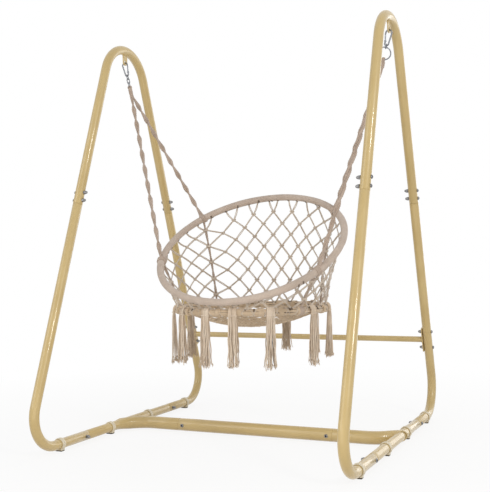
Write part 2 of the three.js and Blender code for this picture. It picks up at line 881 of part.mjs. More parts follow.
function netPoint(angle, rise) {
  const upper = topRingPoint(angle);
  const lower = seatRingPoint(angle);
  const span = upper.clone().sub(lower);
  const reach = span.length();
  span.divideScalar(reach);
  const start = (seatRingTube + 2 * fitGap) / slant(span, seatRingPoint, angle);
  const stop = reach - (topRingTube + 2 * fitGap) / slant(span, topRingPoint, angle);
  const spot = lower.addScaledVector(span, start + (stop - start) * rise);
  const inward = point(-Math.cos(angle * radians), -Math.sin(angle * radians), 0);
  return spot.addScaledVector(inward, netWaistShare * reach * 4 * rise * (1 - rise));
}

function seatNetPoint(angle, share) {
  const ring = seatRingPoint(angle).setZ(0);
  const slope = (2 * seatSag) / seatRingRadius;
  const tuck = (seatNetCordThickness * slope) / Math.hypot(2, 2 * slope);
  const rim = ring.length() - seatRingTube - fitGap - tuck;
  const radius = rim + (seatNetCentreRadius - rim) * share;
  const depth = seatSag * (1 - (radius / rim) ** 2);
  return ring.setLength(radius).setZ(seatRingHeight - depth);
}

const compass = [
  { i: 1, j: 1 },
  { i: -1, j: 1 },
  { i: -1, j: -1 },
  { i: 1, j: -1 },
];
const between = [
  { i: 0, j: 1 },
  { i: -1, j: 0 },
  { i: 0, j: -1 },
  { i: 1, j: 0 },
];

// place(i, j) gives a point for any real i and j. columns is even, and closed says that the
// last column is the first one again.
function lattice(place, columns, rows, cordWidth, thickness, closed) {
  const positions = [];
  const faces = [];
  const knots = new Map();
  const wrap = (i) => (closed ? (i + columns) % columns : i);
  const exists = (i, j) => j >= 0 && j <= rows && (closed || (i >= 0 && i <= columns));
  const add = (spot) => positions.push(spot.x, spot.y, spot.z) / 3 - 1;
  const last = closed ? columns - 1 : columns;
  for (let j = 0; j <= rows; j += 1) {
    for (let i = j % 2; i <= last; i += 2) {
      const centre = place(i, j);
      const eastward = place(i + 0.5, j).sub(place(i - 0.5, j)).normalize();
      const northward = place(i, j + 0.5).sub(place(i, j - 0.5)).normalize();
      const normal = eastward.clone().cross(northward).normalize();
      const front = add(centre.clone().addScaledVector(normal, thickness / 2));
      const back = add(centre.clone().addScaledVector(normal, -thickness / 2));
      const size = cordWidth * Math.SQRT1_2;
      const corner = between.map((way) => {
        const along = way.i === 0 ? northward : eastward;
        return add(centre.clone().addScaledVector(along, size * (way.i + way.j)));
      });
      knots.set(`${i},${j}`, { front, back, corner });
      const present = compass.map((way) => exists(i + way.i, j + way.j));
      addKnotCaps(faces, front, back, corner, present);
    }
  }
  for (const [key, knot] of knots) {
    const [i, j] = key.split(',').map(Number);
    for (const d of [0, 1]) {
      const way = compass[d];
      if (exists(i + way.i, j + 1)) {
        const next = knots.get(`${wrap(i + way.i)},${j + 1}`);
        addCord(faces, knot, next, d);
      }
    }
  }
  return closedGeometry(positions, faces);
}

// Where cords are missing at the lattice's border, the knot gets a flat cut face.
function addKnotCaps(faces, front, back, corner, present) {
  present.forEach((here, d) => {
    const next = (d + 1) % 4;
    if (here && !present[next]) {
      let stop = next;
      while (!present[(stop + 1) % 4]) {
        stop = (stop + 1) % 4;
      }
      const first = corner[d];
      const second = corner[stop];
      faces.push(front, first, back, front, back, second);
    }
  });
}

// Direction 0 runs up and east, direction 1 up and west. The left and right corners of
// both knots are the ones beside the cord.
function addCord(faces, knot, next, direction) {
  const leftHere = knot.corner[direction];
  const rightHere = knot.corner[(direction + 3) % 4];
  const leftThere = next.corner[(direction + 1) % 4];
  const rightThere = next.corner[(direction + 2) % 4];
  const quads = [
    [knot.front, next.front, leftThere, leftHere],
    [knot.front, rightHere, rightThere, next.front],
    [knot.back, leftHere, leftThere, next.back],
    [knot.back, next.back, rightThere, rightHere],
  ];
  for (const [a, b, c, d] of quads) {
    faces.push(a, b, c, a, c, d);
  }
}

// Tassel: the gathered ends of a panel's cords, laid over the outside of the seat ring and
// hanging straight down. Its section has a flute between every two cords.

function tasselBody(angle) {
  const ring = seatRingPoint(angle);
  const outward = point(Math.cos(angle * radians), Math.sin(angle * radians), 0);
  const sideways = axisZ.clone().cross(outward);
  const toTop = netPoint(angle, 0).sub(ring).normalize();
  const start = Math.atan2(toTop.z, toTop.dot(outward));
  const radius = seatRingTube + fitGap + tasselBandThickness / 2;
  const stations = [];
  for (let k = 0; k <= tasselSteps; k += 1) {
    const turn = start - (start * k) / tasselSteps;
    const ray = outward.clone().multiplyScalar(Math.cos(turn));
    ray.addScaledVector(axisZ, Math.sin(turn));
    const at = ring.clone().addScaledVector(ray, radius);
    stations.push({ at, ray, half: tasselBandWidth / 2 });
  }
  const drop = stations[stations.length - 1].at.clone();
  drop.z -= tasselDepth / 2;
  stations.push({ at: drop, ray: outward.clone(), half: tasselBandWidth / 2 });
  const band = toSolid(strap(stations, sideways, tasselBandThickness));
  return band.subtract(ringSpaces[1]).add(toSolid(tasselSkirt(drop, outward, sideways)));
}

function strap(stations, sideways, thickness) {
  const positions = [];
  const faces = [];
  stations.forEach(({ at, ray, half }, k) => {
    for (const [across, through] of [[-1, -0.5], [1, -0.5], [1, 0.5], [-1, 0.5]]) {
      const spot = at.clone().addScaledVector(sideways, across * half);
      spot.addScaledVector(ray, through * thickness);
      positions.push(spot.x, spot.y, spot.z);
    }
    if (k > 0) {
      for (let m = 0; m < 4; m += 1) {
        const n = (m + 1) % 4;
        const here = (k - 1) * 4;
        const there = k * 4;
        faces.push(here + m, here + n, there + n, here + m, there + n, there + m);
      }
    }
  });
  const tail = (stations.length - 1) * 4;
  faces.push(0, 2, 1, 0, 3, 2, tail, tail + 1, tail + 2, tail, tail + 2, tail + 3);
  return closedGeometry(positions, faces);
}

const tasselFlutes = 5;
const fluteDepthShare = 0.86;
const tasselHeightShares = [0, 0.14, 1];
const tasselWaistShares = [0.62, 0.9, 1];

function tasselSkirt(top, outward, sideways) {
  const positions = [];
  const faces = [];
  const count = tasselFlutes * 2;
  tasselHeightShares.forEach((height, k) => {
    const z = top.z - tasselLength * height;
    const flare = k === tasselHeightShares.length - 1 ? tasselFlare / 2 : 0;
    for (let m = 0; m < count; m += 1) {
      const angle = (2 * Math.PI * m) / count;
      const flute = m % 2 === 0 ? 1 : fluteDepthShare;
      const across = ((tasselWidth / 2) * tasselWaistShares[k] + flare) * flute;
      const through = ((tasselDepth / 2) * tasselWaistShares[k] + flare / 2) * flute;
      const spot = top.clone().addScaledVector(sideways, across * Math.cos(angle));
      spot.addScaledVector(outward, through * Math.sin(angle));
      positions.push(spot.x, spot.y, z);
      if (k > 0) {
        const n = (m + 1) % count;
        const here = (k - 1) * count;
        const there = k * count;
        faces.push(here + m, here + n, there + n, here + m, there + n, there + m);
      }
    }
  });
  const tail = (tasselHeightShares.length - 1) * count;
  for (let m = 1; m + 1 < count; m += 1) {
    faces.push(0, m + 1, m, tail, tail + m, tail + m + 1);
  }
  return closedGeometry(positions, faces);
}

// A panel spans some columns between two angles. Its edges keep clear of a rope's rib, or
// of the next panel.

function netPanel(panel) {
  const columns = panel.columns * 2;
  const step = (panel.to - panel.from) / columns;
  const edge = (i, j) => {
    const angle = i === 0 ? panel.from : panel.to;
    const clear = i === 0 ? panel.clearFrom : panel.clearTo;
    const rise = j / panel.rows;
    const spot = netPoint(angle, rise);
    const toTop = spot.distanceTo(topRingPoint(angle)) - topRingTube;
    const toSeat = spot.distanceTo(seatRingPoint(angle)) - seatRingTube;
    const atHitch = clear === rib && Math.min(toTop, toSeat) < hitchReach;
    const beside = atHitch ? besideHitch(angle) : clear;
    const eastward = netPoint(angle + runStepAngle, rise).sub(netPoint(angle - runStepAngle, rise));
    const northward = netPoint(angle, rise + riseStepShare).sub(netPoint(angle, rise - riseStepShare));
    const perDegree = eastward.cross(northward.normalize()).length() / (2 * runStepAngle);
    return (i === 0 ? beside : -beside) / perDegree;
  };
  const place = (i, j) => {
    const shift = i === 0 || i === columns ? edge(i, j) : 0;
    return netPoint(panel.from + step * i + shift, j / panel.rows);
  };
  const net = toSolid(
    lattice(place, columns, panel.rows, netCordWidth, netCordThickness, false),
  );
  const tassels = panel.tassels.map((column) => tasselBody(panel.from + 2 * step * column));
  return toGeometry(addAll(net, tassels));
}

const seam = fitGap / 2;
const rib = ribDiameter / 2 + fitGap;
const hitchReach = hitchThickness + netCordWidth;

// A rib that leans along the ring leaves its hitch off the hitch's middle.
function besideHitch(angle) {
  const span = topRingPoint(angle).sub(seatRingPoint(angle)).normalize();
  const least = Math.min(slant(span, seatRingPoint, angle), slant(span, topRingPoint, angle));
  const slide = (topRingTube + hitchThickness) * Math.sqrt(1 - least ** 2);
  return hitchLength / 2 + 2 * fitGap + slide;
}

function spanPanels(from, to, columns, cuts) {
  const step = (to - from) / columns;
  return cuts.map((cut, k) => ({
    name: cut.name,
    from: from + step * cut.first,
    to: from + step * cut.last,
    columns: cut.last - cut.first,
    rows: cut.rows,
    tassels: cut.tassels,
    clearFrom: k === 0 ? rib : seam,
    clearTo: k === cuts.length - 1 ? rib : seam,
  }));
}

const panels = [
  ...spanPanels(frontRightRopeAngle, rearRightRopeAngle, 5, [
    { name: 'side_net_right_front', first: 0, last: 3, rows: 7, tassels: [1] },
    { name: 'side_net_right_rear', first: 3, last: 5, rows: 9, tassels: [1] },
  ]),
  ...spanPanels(rearRightRopeAngle, rearLeftRopeAngle, 7, [
    { name: 'back_net_right', first: 0, last: 2, rows: 9, tassels: [1] },
    { name: 'back_net_middle', first: 2, last: 5, rows: 9, tassels: [1] },
    { name: 'back_net_left', first: 5, last: 7, rows: 9, tassels: [1] },
  ]),
  ...spanPanels(rearLeftRopeAngle, frontLeftRopeAngle, 4, [
    { name: 'side_net_left', first: 0, last: 4, rows: 9, tassels: [2] },
  ]),
  ...spanPanels(frontLeftRopeAngle, frontRightRopeAngle + fullTurnAngle, 11, [
    { name: 'front_net_left', first: 0, last: 4, rows: 4, tassels: [1, 3] },
    { name: 'front_net_middle', first: 4, last: 8, rows: 1, tassels: [1, 3] },
    { name: 'front_net_right', first: 8, last: 11, rows: 3, tassels: [1] },
  ]),
];

const seatNetColumns = 16;
const seatNetRows = 4;

function seatNet() {
  const columns = seatNetColumns * 2;
  const place = (i, j) => {
    const angle = seatNetTurnAngle + (fullTurnAngle * i) / columns;
    return seatNetPoint(angle, j / seatNetRows);
  };
  return lattice(place, columns, seatNetRows, seatNetCordWidth, seatNetCordThickness, true);
}

// Assembly

const chair = new THREE.Group();
chair.name = 'hammock_chair';

function addPart(name, geometry, finish, parent = chair) {
  const mesh = new THREE.Mesh(geometry, new THREE.MeshStandardMaterial(finish));
  mesh.name = name;
  parent.add(mesh);
}

function addStand() {
  const reach = tubeRadius + fitGap;
  for (const side of sides) {
    const outward = point(side.x, 0, 0);
    addPart(`hoop_${side.name}`, hoop(side), paint);
    addPart(`base_corner_${side.name}`, baseCorner(side), paint);
    for (const end of ends) {
      const corner = `${side.name}_${end.name}`;
      addPart(`leg_${corner}`, lowerLeg(side, end), paint);
      addPart(`foot_outer_${corner}`, footRing(side, end, footOuterPlace), plastic);
      addPart(`foot_inner_${corner}`, footRing(side, end, footInnerPlace), plastic);
      for (const place of legBoltPlaces(side, end)) {
        const name = `leg_bolt_${corner}_${place.name}`;
        addPart(name, bolt(place.at, outward, reach, reach), zinc);
      }
      const railBolt = bolt(railBoltPlace(side, end), outward, reach, reach);
      addPart(`rail_bolt_${corner}`, railBolt, zinc);
    }
    const barReach = barRadius + fitGap;
    const barBolt = bolt(barBoltPlace(side), point(0, -1, 0), barReach, barReach);
    addPart(`bar_bolt_${side.name}`, barBolt, zinc);
    const plateReach = reach + crossPlateThickness + fitGap;
    for (const place of crossBoltPlaces(side)) {
      const crossBolt = bolt(place.at, outward, reach, plateReach);
      addPart(`cross_bolt_${side.name}_${place.name}`, crossBolt, zinc);
    }
  }
  addPart('base_bar', baseBar(), paint);
  addPart('rear_cross_bar', crossBar(), paint);
}

function addHangers() {
  for (const side of sides) {
    const group = new THREE.Group();
    group.applyMatrix4(hangerMatrix(side));
    addPart(`snap_hook_${side.name}`, snapHook(), zinc, group);
    addPart(`hook_gate_${side.name}`, hookGate(), zinc, group);
    if (side.name === 'left') {
      for (let k = 0; k < chainLinks; k += 1) {
        const depth = firstLinkDepth + k * linkStep;
        const turned = k % 2 === 0;
        const link = chainLink(depth, linkInnerLength, linkInnerWidth, linkWire, turned);
        addPart(`chain_link_${k + 1}`, link, zinc, group);
      }
    } else {
      const link = chainLink(firstLinkDepth, shortLinkInnerLength, linkInnerWidth, linkWire, true);
      addPart('short_link_right', link, zinc, group);
      addPart('steel_ring_right', steelRing(), zinc, group);
    }
    chair.add(group);
  }
}

function addChair() {
  addPart('top_ring', topRing(), cotton);
  addPart('seat_ring', seatRing(), cotton);
  for (const panel of panels) {
    addPart(panel.name, netPanel(panel), cotton);
  }
  addPart('seat_net', seatNet(), cotton);
  for (const side of sides) {
    addPart(`ropes_${side.name}`, ropes(side), cotton);
  }
}

addStand();
addHangers();
addChair();

export default chair;
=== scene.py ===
import random
from math import acos, asin, atan2, cos, degrees, dist, hypot, pi, radians, sin, tan

import bpy
import numpy as np
from mathutils import Matrix, Vector


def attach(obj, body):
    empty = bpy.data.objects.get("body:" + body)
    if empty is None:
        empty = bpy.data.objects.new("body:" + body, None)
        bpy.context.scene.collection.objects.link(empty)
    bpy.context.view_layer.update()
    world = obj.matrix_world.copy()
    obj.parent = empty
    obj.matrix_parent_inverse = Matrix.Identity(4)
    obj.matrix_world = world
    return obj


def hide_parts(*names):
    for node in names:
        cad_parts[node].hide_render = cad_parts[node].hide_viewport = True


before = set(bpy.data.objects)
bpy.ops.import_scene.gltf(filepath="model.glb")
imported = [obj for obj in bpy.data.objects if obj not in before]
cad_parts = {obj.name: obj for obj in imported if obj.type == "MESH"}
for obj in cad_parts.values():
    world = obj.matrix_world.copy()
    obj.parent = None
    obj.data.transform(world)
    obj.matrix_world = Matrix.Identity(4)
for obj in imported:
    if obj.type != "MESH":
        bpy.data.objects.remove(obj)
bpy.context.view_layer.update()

# Looks of a two-point hammock chair on its stand, in metres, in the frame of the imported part.
# Sizes that the solids have too are written here again, because this script reads only the frame.

chance = random.Random(41)

X, Y, Z = np.eye(3)
SIGN = {"left": -1, "right": 1, "front": -1, "rear": 1}
# The running gap between pieces, and the radius that stands for a point
GAP = 0.0003
POINT = 1e-6

# Camera: azimuth, elevation and roll in degrees
VIEW_ANGLES = (23.986, -0.914, -0.894)
VIEW_PLACE = (1.4096, -3.2291, 0.7202)
SENSOR = 36
PHOTO_WIDTH = 492
PHOTO_LENS = 860.2


def vec(*values):
    return np.array(values, float)


def unit(v):
    return v / np.linalg.norm(v, axis=-1, keepdims=True)


def full_turn(count):
    return np.linspace(0, 2 * pi, count, endpoint=False)


def circle(turn, first, second):
    """Directions at the given angles in the plane of first and second."""
    turn = np.asarray(turn)[..., None]
    return np.cos(turn) * first + np.sin(turn) * second


def radial(angle):
    """The level direction at an angle in degrees from +X."""
    return circle(radians(angle), X, Y)


def bow(radius, start, end, steps, x=0, y=0):
    """An outline's round part."""
    return [(x + radius * cos(a), y + radius * sin(a)) for a in np.linspace(start, end, steps)]


def mm(*outline):
    """An outline written in millimetres."""
    return [tuple(v * 0.001 for v in point) for point in outline]


def show(thing):
    bpy.context.scene.collection.objects.link(thing)


def make_camera():
    azimuth, elevation, roll = (radians(v) for v in VIEW_ANGLES)
    data = bpy.data.cameras.new("camera")
    data.sensor_width = SENSOR
    data.lens = PHOTO_LENS * SENSOR / PHOTO_WIDTH
    camera = bpy.data.objects.new("camera", data)
    camera.matrix_world = Matrix.Translation(VIEW_PLACE)
    for angle, axis in ((azimuth, "Z"), (pi / 2 - elevation, "X"), (roll, "Z")):
        camera.matrix_world @= Matrix.Rotation(angle, 4, axis)
    show(camera)
    bpy.context.scene.camera = camera


make_camera()


# Surfaces


class Shell:
    """Grids of quads that make up one piece, with coordinates of their own length and girth."""

    def __init__(self, node, kind):
        self.node, self.name = node, f"{node}_{kind}"
        self.spots, self.quads, self.coords, self.marks = [], [], [], []
        self.total = 0

    def grid(self, spots, along, mark=0, loop=False):
        """spots[row, column]: rows follow the length, columns go once round."""
        rows, columns = spots.shape[:2]
        row, column = np.mgrid[:rows if loop else rows - 1, :columns]
        corners = [(row, column), (row, column + 1), (row + 1, column + 1), (row + 1, column)]
        quads = np.stack([r % rows * columns + c % columns for r, c in corners], axis=-1)
        ends = np.append(along, along[-1] + (along[-1] - along[-2]))
        coords = np.stack([np.stack([ends[r], c / columns], axis=-1) for r, c in corners], axis=2)
        self.spots.append(spots.reshape(-1, 3))
        self.quads.append(quads.reshape(-1, 4) + self.total)
        self.coords.append(coords.reshape(-1, 4, 2))
        self.marks.append(np.full(quads.size // 4, mark))
        self.total += rows * columns

    def build(self, finishes, body, slot, nodes=None, sharp=40):
        """Makes the mesh. A grid's mark is its place in finishes, and sharp is in degrees."""
        nodes = [self.node] if nodes is None else nodes
        spots, quads = np.concatenate(self.spots), np.concatenate(self.quads)
        mesh = bpy.data.meshes.new(self.name)
        mesh.from_pydata(spots, [], quads, shade_flat=False)
        marks = np.concatenate(self.marks).astype(np.int32)
        mesh.polygons.foreach_set("material_index", marks)
        layer = mesh.uv_layers.new(name="girth")
        layer.data.foreach_set("uv", np.concatenate(self.coords).ravel())
        mesh.validate()
        mesh.set_sharp_from_angle(angle=radians(sharp))
        for finish in finishes:
            mesh.materials.append(finish)
        piece = bpy.data.objects.new(self.name, mesh)
        show(piece)
        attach(piece, body)
        if nodes:
            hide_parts(*nodes)


def lengths(path):
    steps = np.linalg.norm(np.diff(path, axis=0), axis=1)
    return np.concatenate([[0], np.cumsum(steps)])


def tangents(path, loop=False):
    if loop:
        return unit(np.roll(path, -1, axis=0) - np.roll(path, 1, axis=0))
    return unit(np.gradient(path, axis=0))


def tube(shell, path, radius, sides, beside, mark=0, loop=False, round_ends=False, oval=1.0):
    """A rod along path. beside is a direction, or one for each point, that is never along it."""
    path = np.asarray(path, float)
    radius = np.broadcast_to(np.asarray(radius, float), (len(path),))
    forward = tangents(path, loop)
    beside = np.broadcast_to(beside, path.shape)
    if round_ends:
        first, last, cut = radius[0], radius[-1], 0.7
        path = np.concatenate([
            [path[0] - forward[0] * first, path[0] - forward[0] * first * cut], path,
            [path[-1] + forward[-1] * last * cut, path[-1] + forward[-1] * last]])
        radius = np.concatenate([[POINT, first * cut], radius, [last * cut, POINT]])
        forward, beside = (np.pad(v, ((2, 2), (0, 0)), "edge") for v in (forward, beside))
    across = unit(beside - forward * np.sum(beside * forward, axis=1, keepdims=True))
    upward = np.cross(forward, across)
    ring = circle(full_turn(sides), across[:, None], oval * upward[:, None])
    shell.grid(path[:, None] + radius[:, None, None] * ring, lengths(path), mark, loop)


def lathe(shell, at, axis, outline, sides=32, mark=0):
    """outline holds (radius, height), and a hexagon's half width too where it is one."""
    beside = unit(np.cross(axis, Z))
    turn = full_turn(sides)
    facet = np.cos((turn + pi / 6) % (pi / 3) - pi / 6)
    ways = circle(turn, beside, np.cross(axis, beside))
    rows = []
    for radius, height, *flat in outline:
        reach = np.full(sides, max(radius, POINT))
        if flat:
            reach = np.minimum(radius, flat[0] / facet)
        rows.append(at + axis * height + reach[:, None] * ways)
    spots = np.stack(rows)
    shell.grid(spots, lengths(spots[:, 0]), mark)


# Materials: each has its own detail from nodes, on the piece's own coordinates


def add(tree, kind, inputs=None, **settings):
    """A new node. inputs gives its sockets a value each, or another node's output."""
    node = tree.nodes.new("ShaderNode" + kind)
    for name, value in settings.items():
        setattr(node, name, value)
    for socket, value in (inputs or {}).items():
        if isinstance(value, bpy.types.NodeSocket):
            tree.links.new(value, node.inputs[socket])
        else:
            node.inputs[socket].default_value = value
    return node


class Finish:
    def __init__(self, name, roughness, metallic=0.0, **constants):
        self.material = bpy.data.materials.new(name)
        self.material.use_nodes = True
        self.tree = self.material.node_tree
        self.shader = self.tree.nodes["Principled BSDF"]
        self.shader.inputs["Roughness"].default_value = roughness
        self.shader.inputs["Metallic"].default_value = metallic
        for socket, value in constants.items():
            self.shader.inputs[socket.replace("_", " ")].default_value = value
        self.place = add(self.tree, "TexCoord").outputs

    def shade(self, socket, value):
        self.tree.links.new(value, self.shader.inputs[socket])

    def noise(self, grain):
        """grain is its scale and detail."""
        inputs = {"Scale": grain[0], "Detail": grain[1], "Vector": self.place["Object"]}
        return add(self.tree, "TexNoise", inputs).outputs["Fac"]

    def math(self, operation, first, second):
        return add(self.tree, "Math", {0: first, 1: second}, operation=operation).outputs[0]

    def ramp(self, factor, *stops):
        node = add(self.tree, "ValToRGB", {"Fac": factor})
        for element, (place, colour) in zip(node.color_ramp.elements, stops):
            element.position = place
            element.color = colour
        return node.outputs["Color"]

    def multiply(self, first, second):
        inputs = {0: 1.0, 6: first, 7: second}
        node = add(self.tree, "Mix", inputs, data_type="RGBA", blend_type="MULTIPLY")
        return node.outputs[2]

    def bump(self, height, distance, strength=1.0, **below):
        inputs = {"Strength": strength, "Distance": distance, "Height": height, **below}
        normal = add(self.tree, "Bump", inputs).outputs["Normal"]
        self.shade("Normal", normal)
        return normal

    def two_tones(self, patches, first, second, start=0.3):
        """Soft patches from one colour to another, as a picture shows them, 0 to 255."""
        return self.ramp(self.noise(patches), (start, srgb(*first)), (1 - start, srgb(*second)))


def srgb(*levels):
    """A picture's colour in the renderer's own values."""
    return tuple(((v / 255 + 0.055) / 1.055) ** 2.4 for v in levels) + (1.0,)


def plain(name, first, second, roughness, patches, grain, depth, bump, start=0.3, metallic=0.0,
          gloss=None, **constants):
    """A surface with soft patches and a fine grain; gloss is its roughness's noise and range."""
    finish = Finish(name, roughness, metallic, **constants)
    finish.shade("Base Color", finish.two_tones(patches, first, second, start))
    if gloss:
        inputs = {"To Min": gloss[1], "To Max": gloss[2], "Value": finish.noise(gloss[0])}
        finish.shade("Roughness", add(finish.tree, "MapRange", inputs).outputs["Result"])
    finish.bump(finish.noise(grain), depth, bump)
    return finish.material


def bare_steel(name, dark, light, roughness):
    gloss = ((500.0, 4.0), roughness - 0.1, roughness + 0.12)
    return plain(name, dark, light, roughness, (260.0, 4.0), (900.0, 3.0), 0.0002, 0.2, 0.35, 0.9,
                 gloss)


def cotton(name, light, dark, lay, starts, depth):
    """Twisted cord: lay is the length of one turn of its strands, and starts their number."""
    finish = Finish(name, 0.92, Sheen_Weight=0.25, Sheen_Roughness=0.6, Specular_IOR_Level=0.15)
    white = (1, 1, 1, 1)
    parts = add(finish.tree, "SeparateXYZ", {"Vector": finish.place["UV"]})
    turns = finish.math("MULTIPLY", parts.outputs["X"], starts / lay)
    girth = finish.math("MULTIPLY", parts.outputs["Y"], float(starts))
    wave = finish.math("PINGPONG", finish.math("ADD", turns, girth), 0.5)
    strand = finish.math("POWER", finish.math("MULTIPLY", wave, 2.0), 0.6)
    fibre = finish.noise((1500.0, 3.0))
    body = finish.two_tones((22.0, 3.0), dark, light)
    # The grooves between strands are darkened in the colour as painted shade
    groove_shade = finish.ramp(strand, (0.0, (0.62, 0.56, 0.5, 1)), (0.45, white))
    fuzz = finish.ramp(fibre, (0.3, (0.86, 0.85, 0.83, 1)), (0.7, white))
    finish.shade("Base Color", finish.multiply(finish.multiply(body, groove_shade), fuzz))
    finish.bump(fibre, 0.0003, 0.5, Normal=finish.bump(strand, depth))
    return finish.material


PAINT = plain("tan_powder_coat", (195, 169, 111), (203, 178, 121), 0.34, (9.0, 3.0), (420.0, 2.0),
              0.0002, 0.12, gloss=((160.0, 3.0), 0.30, 0.42), Coat_Weight=0.5, Coat_Roughness=0.07)
ZINC = bare_steel("galvanised_steel", (112, 114, 119), (148, 150, 155), 0.34)
BOLT_STEEL = bare_steel("bright_zinc", (104, 104, 107), (160, 159, 158), 0.34)
# Near-black steel that paints the shade inside the bolt heads' sockets
SOCKET_SHADE = bare_steel("socket_painted_shade", (30, 30, 32), (58, 57, 56), 0.5)
PLASTIC = plain("foot_plastic", (218, 207, 182), (229, 219, 197), 0.5, (60.0, 4.0), (700.0, 3.0),
                0.0003, 0.25, gloss=((300.0, 3.0), 0.42, 0.6), Specular_IOR_Level=0.4)
RUBBER = plain("foot_rubber", (58, 52, 44), (84, 76, 64), 0.75, (90.0, 4.0), (800.0, 3.0),
               0.0003, 0.3, Specular_IOR_Level=0.3)
WRAP = cotton("wound_cotton", (214, 198, 184), (203, 186, 172), 0.005, 1, 0.0004)
ROPE = cotton("rope_cotton", (208, 190, 176), (193, 173, 156), 0.009, 3, 0.0006)
NET = cotton("net_cotton", (231, 219, 204), (213, 198, 182), 0.006, 3, 0.0004)
SEAT = cotton("seat_cotton", (233, 212, 185), (213, 189, 157), 0.006, 3, 0.0004)
FRINGE = cotton("tassel_cotton", (246, 232, 214), (227, 207, 184), 0.006, 2, 0.0004)
# Darker cotton: painted shade on the innermost tassel strands, and random darker strands among the
# rest
FRINGE_SHADE_AND_TONE = cotton("tassel_cotton_shade_and_tone", (226, 208, 187), (197, 175, 150), 0.006, 2, 0.0004)
# Dark cotton as painted shade: at lashings and net landings on the rings, and in the seat ring's
# core
SHADE = cotton("painted_shade_cotton", (120, 100, 82), (92, 76, 62), 0.005, 3, 0.0003)


# Stand: the places of its tubes, and then their radii

FRAME_X = 0.590
HOOP_TOP = 1.644
HOOP_RADIUS = 0.162
SPLAY = radians(20.35)
LEG_JOINT = 0.950
FOOT_RADIUS = 0.122
RAIL_HEIGHT = 0.027
RAIL_JOINT = 0.330
LEG_SPIGOT = 0.092
RAIL_SPIGOT = 0.060
CORNER_RADIUS = 0.120
BAR_HALF = 0.340
BAR_SPIGOT_LENGTH = 0.058
CROSS_HEIGHT = 0.354
TANGENT_Y = HOOP_RADIUS * cos(SPLAY)
TANGENT_Z = HOOP_TOP - HOOP_RADIUS + HOOP_RADIUS * sin(SPLAY)

TUBE = 0.019
BORE = 0.0174
SPIGOT = 0.0171
BAR = 0.0255
BAR_SPIGOT = 0.0236
CROSS_TUBE = 0.0127
EDGE = 0.0009
SPIGOT_EDGE = 0.0015

LUG_HOLE = 0.007
LUG_HOLE_HEIGHT = 1.595
LUG_LOW = 1.580
LUG_HALF = 0.016
LUG_TOP = 0.037
LUG_THICKNESS = 0.005
LUG_SEAM = 0.0034

# End plates of the cross bar: the middle of their corners, and their radius
PLATE_WIDE, PLATE_HIGH = 0.010, 0.051
PLATE_CORNER = 0.005
PLATE_THICKNESS = 0.004

# Feet: each band's place on its rail, its wall and half width, and its pad
FEET = {"outer": 0.505, "inner": 0.155}
FOOT_WALL = 0.0032
FOOT_HALF = 0.015
FOOT_LENGTH = 0.020
FOOT_RIB = 0.0066
PAD_HALF = (0.0145, 0.0095)
PAD_HEIGHT = 0.0048

# How far each bolt lies from its joint, along the tube
LEG_BOLTS = {"upper": 0.052, "lower": 0.018}
RAIL_BOLT = 0.024
BAR_BOLT = 0.022
CROSS_BOLTS = {"upper": 0.038, "lower": -0.038}
SHANK = 0.0039
HEAD = mm((4, 0.7), (7.4, 0.8), (7.4, 1.8), (6.7, 3.3), (5.6, 4.4), (4.5, 4.9), (4.1, 4.6, 3.5))
SOCKET = mm((4.1, 4.6, 3.5), (4.1, 2.2, 3.5), (0, 2.2))
WASHER = mm((4, 0), (7.2, 0), (7.5, 0.3), (7.5, 1), (7.2, 1.3), (4, 1.3))
NUT = mm((6.8, 1.3, 6.4), (7.4, 1.8, 6.4), (7.4, 7.2, 6.4), (6.8, 7.7, 6.4), (6, 8), (6, 9.8),
         (5.6, 11.8), (4.5, 13.8), (2.8, 15.2), (1, 15.9), (0, 16))


def leg_y(z):
    return TANGENT_Y + (TANGENT_Z - z) * tan(SPLAY)


def bent_path(corners, bend, steps):
    """Straight runs between corners that have round bends of one radius."""
    corners = [vec(*corner) for corner in corners]
    spots = corners[:1]
    for before, corner, after in zip(corners, corners[1:], corners[2:]):
        inward, outward = unit(corner - before), unit(after - corner)
        turn = acos(np.clip(inward @ outward, -1, 1))
        start = corner - inward * bend * tan(turn / 2)
        side = unit(outward - inward * cos(turn))
        for a in np.linspace(0, turn, steps + 1):
            spots.append(start + inward * bend * sin(a) + side * bend * (1 - cos(a)))
    return np.stack(spots + corners[-1:])


def profiled(path, profile):
    """The path with the profile's places added. profile holds (length along, radius)."""
    run = lengths(path)
    places, radii = np.array(profile).T
    every = np.unique(np.round(np.concatenate([run, places]), 6))
    every = every[np.concatenate([[True], np.diff(every) > 5e-5])]
    spots = np.stack([np.interp(every, run, path[:, k]) for k in range(3)], axis=1)
    return spots, np.interp(every, places, radii)


def mirrored(whole, profile):
    return [(whole - place, radius) for place, radius in profile[::-1]]


def cut_end(radius, bore=BORE):
    """The outer profile of a tube's end, its edge rounded off and open to the bore."""
    return [(0, bore), (6e-5, radius - EDGE), (EDGE * 0.4, radius - EDGE * 0.3), (EDGE, radius)]


def swaged_end(length, spigot=SPIGOT, radius=TUBE):
    """The profile of a spigot with its mouth eased, up to the shoulder of the full tube."""
    neck = length + GAP
    return [(0, spigot - SPIGOT_EDGE), (SPIGOT_EDGE, spigot), (neck, spigot),
            (neck + 1e-4, radius - 0.0012), (neck + 0.0006, radius - 0.0003),
            (neck + SPIGOT_EDGE, radius)]


def weld_bead(shell, path, radius, beside, loop=False):
    """A bead with even ripples and a finer unevenness."""
    run = lengths(path)
    ripple = 1 + 0.16 * np.sin(run * 437.5 * pi) + 0.05 * np.sin(run * 2900)
    tube(shell, path, radius * ripple, 10, beside, loop=loop, round_ends=not loop)


